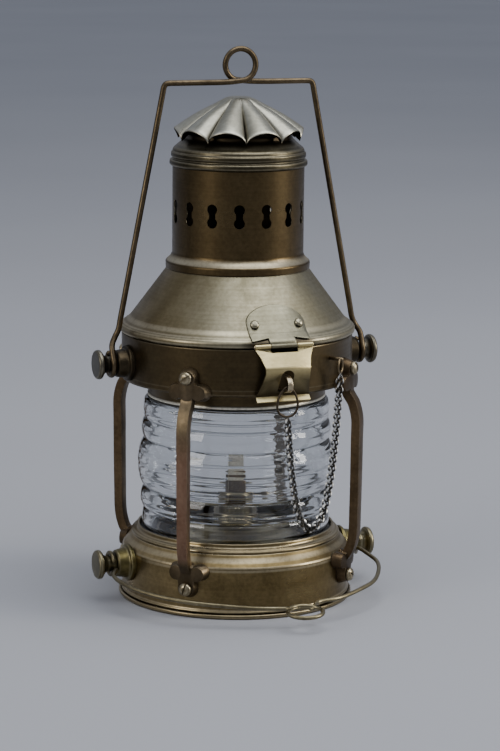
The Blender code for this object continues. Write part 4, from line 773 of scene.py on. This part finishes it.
def bar_line():
    upper = [(79.1, 141.2), (80.3, 138.0), (83.9, 132.4), (86.5, 122.0)]
    middle = [(86.5, 108), (86.4, 84), (86.1, 62)]
    lower = [(85.6, 45.3), (83.0, 34.9), (79.5, 29.3), (78.3, 26.1)]
    outer = smooth_pairs(upper + middle + lower, 40)
    return outer + moved_out(outer, -5.7)[::-1]


def upright():
    bar = prism("upright", bar_line(), -3.8, 3.8, FRONT)
    for vertex in bar.data.vertices:
        vertex.co.y *= 0.816 + 0.184 * (vertex.co.z / MM - 29.5) / 112.7
    cut(bar, foot("upper_foot", 74.6, 153.8, 144.4, 8.6), "UNION")
    cut(bar, foot("lower_foot", 73.8, 19.0, 29.5, 7.8), "UNION")
    return applied(soften(bar, 0.7, 3, 40), 35)


def slotted_head(name, slot_deg):
    """A pan head with a slot, standing on +Z from zero, in millimetres made metres."""
    head = turned(name, [(0, 3.0), (2.4, 2.85, 1.2), (4.1, 1.6, 1.4), (4.3, 0.0), (0, 0)],
                  steps=40)
    cut(head, prism("slot", oblong(6, 0.5), 1.7, 5, spin(slot_deg)))
    shank = turned(name + "_shank", rectangle(0, 0.1, 1.9, -8.4), steps=24)
    return merged(name, [head, shank])


def facing(place, direction):
    return Matrix.Translation(place) @ Vector(direction).to_track_quat("Z", "Y").to_matrix().to_4x4()


def foot_painted_shade(face, place):
    """Painted shade on the outward faces of the two feet, while their side walls stay lighter."""
    flat = face.normal.xy
    outward = flat.normalized().dot(place.xy.normalized()) if flat.length > 0.5 else 0.0
    near_foot = max(fade(place.z / MM, 137, 141), fade(place.z / MM, 38, 34))
    return near_foot * (0.15 + 0.45 * fade(outward, 0.6, 0.9))


bar = upright()
turns = {"front_left": 225, "front_right": 315, "rear_left": 135, "rear_right": 45}
number = 1
for name, turn in turns.items():
    item = link("upright_%s_skin" % name, bar.data.copy())
    item.data.transform(spin(turn))
    if name == "front_left":
        # A reddish tone lower down on the front-left upright, between its feet.
        mark(item.data, "painted_side_light_and_tone", lambda face, place: fade(place.z / MM, 122, 100) * fade(place.z / MM, 34, 40))
    mark(item.data, "painted_shade", foot_painted_shade)
    dress(item, RUDDY if name == "front_left" else CAST, "lantern", "dark_brass", "upright_" + name)
    for radius, height in ((80.4, 153.8), (79.6, 19.0)):
        heading = level(math.radians(turn))
        head = slotted_head("upright_screw_%d_skin" % number, 37 * number)
        head.data.transform(facing(heading * radius * MM + Vector((0, 0, height * MM)), heading))
        dress(head, SCREW, "lantern", "worn_brass", "upright_screw_%d" % number)
        number += 1
bpy.data.objects.remove(bar, do_unlink=True)


# Bosses and knobs
def boss_and_knob(side, word, height, level, wall, radius):
    corners = [
        (0, 83.5), (7.8, 83.5, 0.6), (8.6, 82.6, 0.6), (radius - 2.2, wall + 2.6, 0.8),
        (radius, wall + 2.2, 0.8), (radius, wall - 4), (0, wall - 4)]
    boss = turned("boss", corners, steps=64)
    block = lathe("block", rectangle(0, -30, wall + 0.2, 30))
    boss.data.transform(spin(90 * side, "Y"))
    cut(boss, block)
    boss.data.transform(Matrix.Translation((0, 0, height * MM)))
    upper = level == "upper"
    node = "%s_boss_%s" % (level, word)
    boss.name = node + "_skin"
    dress(boss, BOSS if upper else BOSS_GOLD, "lantern", "body_brass", node)
    node = "%s_knob_%s" % (level, word)
    knob = turned(node + "_skin", [
        (0, 96.5), (8.6, 96.3, 0.8), (9.4, 95.0, 0.8), (9.4, 93.4, 0.7), (8.4, 92.7, 0.5), (5.9, 91.0, 1.6),
        (5.0, 89.0, 0.8), (5.0, 83.8), (3.0, 83.8), (3.0, 76.1), (0, 76.1)], steps=64)
    laid(knob, (0, 0, height), 90 * side)
    dress(knob, KNOB if upper else KNOB_GOLD, "pivot_screws" if upper else "lantern", "body_brass", node)


for word, side in (("left", -1), ("right", 1)):
    boss_and_knob(side, word, UPPER_PIVOT, "upper", BAND_RADIUS, 11.4)
    boss_and_knob(side, word, LOWER_PIVOT, "lower", DRUM_RADIUS, 12.0)


# Bails
def eye(side, across, height, ahead):
    beside = Vector((-ahead.y, ahead.x))
    points = []
    for step in range(24):
        turn = math.radians(75 + 260 * (1 - step / 23))
        spot = (ahead * math.cos(turn) + beside * math.sin(turn)) * 7.1
        points.append((side * across, spot.x, height + spot.y))
    return points


def to_metres(points):
    return [Vector(point) * MM for point in points]


RING_R = 9.95


def upper_bail():
    def half(side):
        start = eye(side, 86.1, UPPER_PIVOT, Vector((0, 1)))
        bend = smooth_line([start[-1], (side * 86.1, -2.4, 166.6), (side * 83.6, 0, 171.7),
                            (side * 81.0, 0, 177.0),
                            (side * 79.8, 0, 183.0)], 24)[1:]
        corner = smooth_line([(side * 51.7, 0, 325.6), (side * 50.9, 0, 329.4), (side * 49.4, 0, 331.4),
                              (side * 46.5, 0, 331.8)], 14)
        leg = [bend[-1].lerp(corner[0], step / 20) for step in range(1, 20)]
        return [Vector(point) for point in start] + bend + leg + corner

    ring = []
    for step in range(49):
        share = step / 48
        turn = math.tau * share
        across, rise = RING_R * math.sin(turn), RING_R * math.cos(turn)
        ring.append(Vector((0.8 + across, 1.9 * (2 * share - 1), 342.8 - rise)))
    lead_in = smooth_line([(-20, -0.5, 331.8), (-12, -1.4, 331.9), (-5, -1.9, 332.2), ring[0]], 16)[:-1]
    lead_out = smooth_line([ring[-1], (6.6, 1.9, 332.2), (13.6, 1.4, 331.9), (21.6, 0.5, 331.8)], 16)[1:]
    path = half(-1) + lead_in + ring + lead_out + half(1)[::-1]
    return tube("upper_bail_skin", to_metres(path), 1.85 * MM, sides=16)


dress(upper_bail(), WIRE, "bail", "body_brass", "upper_bail")
LEFT_WIRE = [(-86.5, 12), (-91.5, 21.6), (-90.2, 35.5), (-84.6, 49.2), (-74.2, 63), (-59.5, 75.8),
             (-42.3, 85.7), (-24.2, 94.1), (-6.0, 99.0)]
RIGHT_WIRE = [(83.3, 12), (85.0, 23.6), (85.0, 37.4), (79.4, 52.2), (68.2, 69.0), (52.6, 80.8),
              (34.5, 90.6), (18.1, 94.1)]


def lower_bail():
    tilt = math.radians(7)

    def place(across, out, lift=0.0):
        return (across, -out, LOWER_PIVOT - out * math.tan(tilt) + lift)

    def half(side, points):
        ahead = Vector((-math.cos(tilt), -math.sin(tilt)))
        return eye(side, 86.3, LOWER_PIVOT, ahead), [place(x, y) for x, y in points]

    left_eye, left = half(-1, LEFT_WIRE)
    right_eye, right = half(1, RIGHT_WIRE)
    loop = []
    for step in range(40):
        share = step / 39
        turn = math.radians(-50 + 460 * share)
        loop.append(place(4 + 11.2 * math.sin(turn), 98.5 + 9.2 - 9.2 * math.cos(turn), 1.6 * (0.5 - share)))
    path = left_eye[:-1] + smooth_line(left_eye[-1:] + left + loop[:2], 90)[:-1] + loop[1:-1]
    path += smooth_line(loop[-2:] + right[::-1] + right_eye[-1:], 90)[1:] + right_eye[:-1][::-1]
    return tube("lower_bail_skin", to_metres(path), 1.35 * MM, sides=14)


dress(lower_bail(), HANDLE, "bottom_bail", "body_brass", "lower_bail")

# Hasp and hinge
KNUCKLE_Y, KNUCKLE_Z = 77.65, 174.6
HASP_HALF = 19.4
TONGUE_HALF = 8.7
NOTCH_HALF = 9.0
SIDE_KNUCKLES = ((-HASP_HALF, -NOTCH_HALF), (NOTCH_HALF, HASP_HALF))
RIVET_ACROSS = 14.6
CONE_LINE = [(45.3, 213.8), (69.6, 181.2), (73.2, 178.6), (74.6, 177.6), (75.7, 176.4), (75.9, 175.0),
             (75.8, 173.6)]


def knuckle(name, front, low, high):
    """A rolled knuckle along X between two places, in millimetres."""
    barrel = turned(name, [(0.85, low), (1.55, low, 0.25), (1.55, high, 0.25), (0.85, high)], steps=28)
    return laid(barrel, (0, front * KNUCKLE_Y, KNUCKLE_Z))


def cone_leaf(name, front):
    """A hinge leaf that follows the cone, with a round top and a tongue down to its knuckle."""
    line = CONE_LINE[:1] + smooth_pairs(CONE_LINE[1:], 18)
    outer, inner = moved_out(line, 1.25), moved_out(line, 0.12)
    shell = lathe("leaf_shell", outer + inner[::-1], steps=180)
    outline = [(-TONGUE_HALF, 171.5), (TONGUE_HALF, 171.5), (TONGUE_HALF, 179.4), (HASP_HALF, 177.6)]
    for step in range(37):
        turn = math.pi * step / 36
        outline.append((HASP_HALF * math.cos(turn), 187.2 + 10.4 * math.sin(turn) ** 1.15))
    outline += [(-HASP_HALF, 177.6), (-TONGUE_HALF, 179.4)]
    plate = prism(name, outline, 30, 90, FRONT if front < 0 else BACK)
    cut(plate, shell, "INTERSECT")
    cut(plate, knuckle("middle_knuckle", front, -TONGUE_HALF, TONGUE_HALF), "UNION")
    return applied(soften(plate, 0.18, 2, 50), 40)


def hasp_leaf():
    """The hat-shaped leaf: out to a knee, back to the band and a turned-out tab, with an arched hole."""
    bends = [(-0.8, 0.8, 0), (7.5, 13.0, 1.2), (7.1, 16.4, 1.2), (-1.9, 31.6, 1.0), (1.0, 34.8, 0)]
    spine = rounded([(-KNUCKLE_Y - out, KNUCKLE_Z - down, radius) for out, down, radius in bends], steps=8)
    strip = prism("hasp_leaf_skin", ribbon(spine, 1.1), -HASP_HALF, HASP_HALF, SIDE)
    side = [(HASP_HALF, 1.6), (HASP_HALF, -1.4), (16.6, -6.6), (15.0, -12.0), (14.8, -16.0), (15.6, -22.0),
            (17.7, -30.8), (17.9, -33.2), (17.6, -39.0)]
    outline = [(x, KNUCKLE_Z + z) for x, z in side] + [(-x, KNUCKLE_Z + z) for x, z in side[::-1]]
    cut(strip, prism("trim", outline, 60, 95, FRONT), "INTERSECT")
    hole = arc((0, KNUCKLE_Z - 14.1 - 4.3), 4.3, 0, 180, 24)
    hole += [(-4.3, KNUCKLE_Z - 28.6), (4.3, KNUCKLE_Z - 28.6)]
    cut(strip, prism("hole", hole, 60, 95, FRONT))
    notch = rectangle(-NOTCH_HALF, 170.8, NOTCH_HALF, 176.5)
    cut(strip, prism("notch", notch, 75.5, 80.6, FRONT))
    for low, high in SIDE_KNUCKLES:
        cut(strip, knuckle("side_knuckle", -1, low, high), "UNION")
    applied(soften(strip, 0.2, 2, 50), 40)
    # Painted shade on the lower part of the leaf, where it turns back down to the band; the turned-out tab
    # stays bright.
    mark(strip.data, "painted_shade", lambda face, place:
         0.94 * fade(place.z / MM, 161.4, 152.0) * fade(place.z / MM, 142.0, 143.2))
    return strip


def staple():
    shares = [(-3.0, 1.0), (0.0, 1.0), (0.3, 1.0), (0.62, 1.0), (0.84, 0.90), (0.97, 0.68), (1.0, 0.48),
              (0.96, 0.28), (0.84, 0.10), (0.62, 0.0), (0.3, 0.0), (0.0, 0.0), (-3.0, 0.0)]
    line = [(-BAND_RADIUS - (15.0 * out if out > 0 else out), 146.75 + 9.5 * up) for out, up in shares]
    strip = prism("hasp_staple_skin", ribbon(smooth_pairs(line, 44), 1.1), -1.65, 1.65, SIDE)
    return applied(soften(strip, 0.3, 2, 50), 50)


def rivet(name, place, direction):
    head = turned(name, [(0, 1.75), (1.5, 1.6, 0.8), (2.65, 0.9, 0.9), (2.95, 0.0), (1.2, 0.0), (1.2, -3.3),
                         (0, -3.3)],
                  steps=32)
    head.data.transform(facing(place, direction))
    return head


def cone_rivet_place(front, across):
    rise = Vector((45.3 - 69.7, 213.8 - 181.2)).normalized()
    seat = Vector((69.7, 181.2)) + rise * 5.8
    out = Vector((rise.y, -rise.x))
    turn = math.asin(across * RIVET_ACROSS / seat.x)
    heading = Vector((math.sin(turn), front * math.cos(turn), 0))
    spot = seat + out * 1.6
    place = (heading * spot.x + Vector((0, 0, spot.y))) * MM
    return place, heading * out.x + Vector((0, 0, out.y))


def band_leaf():
    outer, inner = 75.6, 74.6
    plate = prism("hinge_leaf_band_skin", rectangle(-HASP_HALF, 153.5, HASP_HALF, 168.5), 60, 90, BACK)
    shell = lathe("shell", rectangle(inner, 150, outer, 172), steps=180)
    cut(plate, shell, "INTERSECT")
    spine = smooth_pairs([(72.6, 166.5), (75.1, 168.5), (76.6, 170.9), (78.3, 173.1)], 12)
    for low, high in SIDE_KNUCKLES:
        strip = prism("strip", ribbon(spine, 1.0), low, high, SIDE)
        cut(plate, strip, "UNION")
        cut(plate, knuckle("side_knuckle", 1, low, high), "UNION")
    wall = lathe("wall", rectangle(0, 145, inner, 172.2), steps=180)
    cut(plate, wall)
    return applied(soften(plate, 0.18, 2, 50), 40)


dress(cone_leaf("hasp_upper_leaf_skin", -1), LEAF, "hood", "body_brass", "hasp_upper_leaf")
dress(cone_leaf("hinge_leaf_hood_skin", 1), LEAF, "hood", "body_brass", "hinge_leaf_hood")
dress(band_leaf(), BAND, "lantern", "body_brass", "hinge_leaf_band")
dress(hasp_leaf(), GOLD, "hasp", "pale_brass", "hasp_leaf")
dress(staple(), WORN_BRASS, "lantern", "worn_brass", "hasp_staple")
for word, across in (("left", -1), ("right", 1)):
    for name, front in (("hasp_rivet_", -1), ("hood_hinge_rivet_", 1)):
        head = rivet(name + word + "_skin", *cone_rivet_place(front, across))
        dress(head, LEAF, "hood", "worn_brass", name + word)
    turn = math.asin(across * RIVET_ACROSS / BAND_RADIUS)
    heading = Vector((math.sin(turn), math.cos(turn), 0))
    item = rivet("band_hinge_rivet_%s_skin" % word, (heading * 75.9 + Vector((0, 0, 160.0))) * MM, heading)
    dress(item, WORN_BRASS, "lantern", "worn_brass", "band_hinge_rivet_" + word)
for name, front, body in (("hasp_pin", -1, "hood"), ("hinge_pin", 1, "lantern")):
    line = [(across, front * KNUCKLE_Y, KNUCKLE_Z) for across in (-19.7, 0, 19.7)]
    pin = tube(name + "_skin", to_metres(line), 0.75 * MM)
    dress(pin, WORN_BRASS, body, "worn_brass", name)

# Lock ring, chain and its eye
NOSE = Vector((-0.5, -85.7, 150.04))
EYE_TURN = math.radians(-59.5)
EYE_CENTRE = level(EYE_TURN, 81.9, 158.2)
CHAIN_LENGTH = 182.6


def lock_ring():
    """A pear-shaped split ring: narrow where it hangs in the staple, round below."""
    points = []
    for turn in turns_of(28):
        narrow = 0.80 - 0.20 * math.cos(turn)
        points.append((NOSE.x + 8.4 * narrow * math.sin(turn), NOSE.y, NOSE.z - 9.3 + 9.3 * math.cos(turn)))
    path = smooth_line(points, 72, closed=True)
    return tube("lock_ring_skin", to_metres(path), 0.72 * MM, closed=True, sides=12)


def catenary(start, end, length, count):
    run = Vector((end.x - start.x, end.y - start.y, 0))
    span, drop = run.length, end.z - start.z
    goal = math.sqrt(length ** 2 - drop ** 2) / span
    low, high = 0.01, 20
    for step in range(60):
        guess = (low + high) / 2
        if math.sinh(guess) / guess < goal:
            low = guess
        else:
            high = guess
    scale = span / (2 * low)
    shift = span / 2 - scale * math.atanh(drop / length)
    base = start.z - scale * math.cosh(shift / scale)
    begin = scale * math.sinh(-shift / scale)
    points = []
    for step in range(count):
        along = scale * math.asinh((begin + length * step / (count - 1)) / scale)
        place = start + run * (along + shift) / span
        points.append(Vector((place.x, place.y, base + scale * math.cosh(along / scale))))
    return points


def chain():
    """Twisted curb links along the hanging curve."""
    start = NOSE - Vector((0, 0, 18.6 + 1.1))
    end = EYE_CENTRE - Vector((0, 0, 5.15))
    pitch, half_long, half_wide = 2.75, 2.3, 2.2
    count = int(CHAIN_LENGTH / pitch)
    route = catenary(start, end, CHAIN_LENGTH, count + 1)
    links = []
    side = Vector((end.y - start.y, start.x - end.x, 0)).normalized()
    for number in range(count):
        along = (route[number + 1] - route[number]).normalized()
        middle = (route[number + 1] + route[number]) / 2
        across = side.cross(along).normalized()
        twist = math.radians(24 if number % 2 else -24)
        flat_way = across * math.cos(twist) + side * math.sin(twist)
        normal = along.cross(flat_way)
        points = []
        for turn in turns_of(14):
            lift = 0.5 * math.sin(2 * turn)
            spot = middle + along * half_long * math.cos(turn) + flat_way * half_wide * math.sin(turn)
            points.append(spot + normal * lift)
        curb = tube("link", to_metres(points), 0.66 * MM, closed=True, sides=6)
        # Painted highlights on the outer sides of each link.
        mark(curb.data, "wear_and_highlight", lambda face, place:
             0.9 * fade(abs((place / MM - middle).dot(flat_way)), 1.6, 2.4) *
             fade(abs((place / MM - middle).dot(along)), 1.6, 0.9))
        links.append(curb)
    return merged("hasp_chain_links", links)


def chain_eye():
    """A ring that hangs from a short stud, turned a little off the wall."""
    heading = level(EYE_TURN)
    aside = level(EYE_TURN - math.radians(73))
    loop = []
    for turn in turns_of(32):
        loop.append(EYE_CENTRE + aside * 4.2 * math.cos(turn) + Vector((0, 0, 4.6 * math.sin(turn))))
    ring = tube("ring", to_metres(loop), 0.75 * MM, closed=True, sides=10)
    top = Vector((0, 0, 4.4))
    path = [EYE_CENTRE + top + heading * reach for reach in (1.6, -4, -8.5)]
    shank = tube("shank", to_metres(path), 1.2 * MM, sides=16)
    return merged("chain_eye_skin", [ring, shank])


dress(lock_ring(), DARK, "lantern", "dark_brass", "lock_ring")
dress(chain(), CHAIN, "lantern", "dark_brass", "hasp_chain")
dress(chain_eye(), RUDDY, "lantern", "worn_brass", "chain_eye")

# Oil font and burner
font = turned("oil_font_skin", [
    (12.0, 48.7, 0.3), (12.0, 46.4, 1.2), (22.8, 42.8, 4), (34.5, 38.8, 4), (44.0, 34.4, 4),
    (48.0, 30.4, 4), (48.0, 1.5, 1), (0, 1.5), (0, 2.5), (47.0, 2.5), (47.0, 30.0, 3), (43.0, 33.4, 3),
    (34.0, 37.8, 3), (22.4, 41.8, 3), (11.0, 45.6), (8.5, 46.6), (8.5, 48.7)])
dress(font, BURNER, "lantern", "dark_brass", "oil_font")
collar = turned("font_collar_skin", [
    (8.5, 50.2), (14.0, 50.2, 0.7), (15.0, 49.4, 0.6), (15.0, 45.6, 0.5), (12.3, 45.4), (12.3, 49.0),
    (8.5, 49.0)])
dress(collar, BURNER, "lantern", "body_brass", "font_collar")


def knurled(name, corners, teeth, depth, low, high):
    """A turned piece whose wall between two heights carries small teeth."""
    item = turned(name, corners, steps=teeth * 4)
    for vertex in item.data.vertices:
        radius = math.hypot(vertex.co.x, vertex.co.y)
        if low * MM < vertex.co.z < high * MM and radius > 9.5 * MM:
            turn = math.atan2(vertex.co.y, vertex.co.x)
            shift = 1 + depth * MM * 0.5 * (math.cos(turn * teeth) - 1) / radius
            vertex.co.x *= shift
            vertex.co.y *= shift
    return item


WICK_SLOT = (6.5, 2.7)
shell = knurled("burner_shell_skin", [
    (0, 64.5), (9.8, 64.5, 0.8), (11.0, 63.2, 0.8), (11.0, 60.4, 0.5), (9.9, 59.6, 0.5), (9.9, 54.8, 0.5),
    (11.0, 54.0, 0.5), (11.0, 50.5), (9.2, 50.5), (9.2, 53.6), (0, 53.6)], 36, 0.5, 50.6, 54.2)
cut(shell, prism("slot", oblong(*WICK_SLOT), 50, 70))
dress(shell, BURNER, "lantern", "body_brass", "burner_shell")
disc = turned("burner_disc_skin", [
    (0, 66.0), (10.9, 66.0, 0.5), (11.8, 66.4, 0.4), (11.8, 64.8, 0.4), (0, 64.8)], steps=96)
cut(disc, prism("slot", oblong(*WICK_SLOT), 60, 70))
for number in range(12):
    place = spin(30 * (number + 0.5)) @ Matrix.Translation((9.4 * MM, 0, 0))
    hole = turned("hole", rectangle(0, 60, 0.8, 70), steps=12)
    hole.data.transform(place)
    cut(disc, hole)
dress(disc, BURNER, "lantern", "body_brass", "burner_disc")


def slotted_box(name, wide, deep, low, high, wall, bevel):
    outer = prism(name, oblong(wide, deep), low, high)
    if wall:
        cut(outer, prism("bore", oblong(wide - wall, deep - wall), low - 2, high + 2))
    return applied(soften(outer, bevel, 2, 50), 40)


wick_tube = slotted_box("wick_tube_skin", 6.2, 2.4, 63.3, 76.2, 0.6, 0.2)
dress(wick_tube, CAST, "lantern", "worn_brass", "wick_tube")
wick = slotted_box("wick_cloth", 5.2, 1.3, 15.0, 82.6, 0, 0.35)
dress(wick, COTTON, "wick", "wick_cotton", "wick")
winder = turned("wick_winder_skin", [
    (0, 24.0), (5.0, 24.0, 0.3), (5.6, 23.4, 0.3), (5.6, 22.2, 0.3), (5.0, 21.8, 0.2), (0.9, 21.8),
    (0.9, 3.5), (2.8, 3.5), (2.8, -3.5), (0, -3.5)], steps=96)
for vertex in winder.data.vertices:
    radius = math.hypot(vertex.co.x, vertex.co.y)
    if radius > 4.5 * MM:
        shift = 1 + 0.035 * math.cos(math.atan2(vertex.co.y, vertex.co.x) * 24)
        vertex.co.x *= min(shift, 1)
        vertex.co.y *= min(shift, 1)
laid(winder, (0, 4.4, 57.5))
dress(winder, WORN_BRASS, "winder", "worn_brass", "wick_winder")


# Floor, light and camera
def floor():
    work = bmesh.new()
    bmesh.ops.create_grid(work, x_segments=2, y_segments=2, size=14)
    mesh = bpy.data.meshes.new("floor")
    work.to_mesh(mesh)
    work.free()
    item = link("floor", mesh)
    finish, tree, shader, place = nodes_of("floor_pale")
    grain = spread(tree, noise(tree, place, 1.2, 2), 0.3, 0.7)
    tone = blend(tree, grain, (0.272, 0.276, 0.294), (0.290, 0.294, 0.312))
    tree.links.new(tone, shader.inputs["Base Color"])
    shader.inputs["Roughness"].default_value = 0.9
    shader.inputs["Specular IOR Level"].default_value = 0.1
    item.data.materials.append(finish)


def area_light(name, place, aim, size, power, colour):
    data = bpy.data.lights.new(name, "AREA")
    data.shape = "RECTANGLE"
    data.size, data.size_y = size
    data.energy = power
    data.color = colour
    item = link(name, data)
    item.location = place
    item.rotation_euler = (Vector(aim) - Vector(place)).to_track_quat("-Z", "Y").to_euler()


FOCAL = 2700
PHOTO_HEIGHT = 751
SENSOR = 36


def spun(first, second, angle):
    """Two axes turned together in their own plane."""
    near, far = math.cos(angle), math.sin(angle)
    return first * near + second * far, second * near - first * far


def camera():
    """The photograph's viewpoint: 22 degrees to the left of the hasp, looking down 10 degrees."""
    turn, pitch, roll, pan = math.radians(22), 0.1804, 0.0089, math.atan(13.3744 / FOCAL)
    toward = Vector((-math.sin(turn), -math.cos(turn), 0))
    aim = Vector((0, 0, 142.56 * MM))
    reach = 1745.7 * MM
    place = aim + (toward * math.cos(pitch) + Vector((0, 0, math.sin(pitch)))) * reach
    ahead = (aim - place).normalized()
    right = ahead.cross(Vector((0, 0, 1))).normalized()
    up = right.cross(ahead)
    right, up = spun(right, up, roll)
    ahead, right = spun(ahead, right, pan)
    data = bpy.data.cameras.new("camera")
    data.lens = FOCAL / PHOTO_HEIGHT * SENSOR
    data.sensor_width = SENSOR
    data.sensor_fit = "AUTO"
    data.clip_end = 60
    item = link("camera", data)
    item.matrix_world = Matrix.Translation(place) @ axes(right, up, -ahead)
    bpy.context.scene.camera = item


def world():
    setting = bpy.data.worlds.new("studio")
    bpy.context.scene.world = setting
    setting.use_nodes = True
    tree = setting.node_tree
    place = tree.nodes.new("ShaderNodeTexCoord").outputs["Generated"]
    split = tree.nodes.new("ShaderNodeSeparateXYZ")
    tree.links.new(place, split.inputs["Vector"])
    height = spread(tree, split.outputs["Z"], -0.05, 0.85)
    tone = blend(tree, height, (0.16, 0.155, 0.16), (0.80, 0.86, 1.0))
    tree.links.new(tone, tree.nodes["Background"].inputs["Color"])
    tree.nodes["Background"].inputs["Strength"].default_value = 0.8


floor()
world()
area_light("sky", (0.38, -0.45, 2.15), (0, 0, 0.1), (2.1, 2.1), 48, (0.95, 0.97, 1.0))
area_light("window_left", (-2.9, -0.85, 1.25), (0, 0, 0.15), (1.3, 1.7), 34, (1.0, 0.95, 0.88))
area_light("window_right", (2.75, -1.55, 1.25), (0, 0, 0.12), (1.15, 1.7), 74, (1.0, 0.97, 0.92))
camera()


def corners(box):
    return [list(corner) for corner in box]
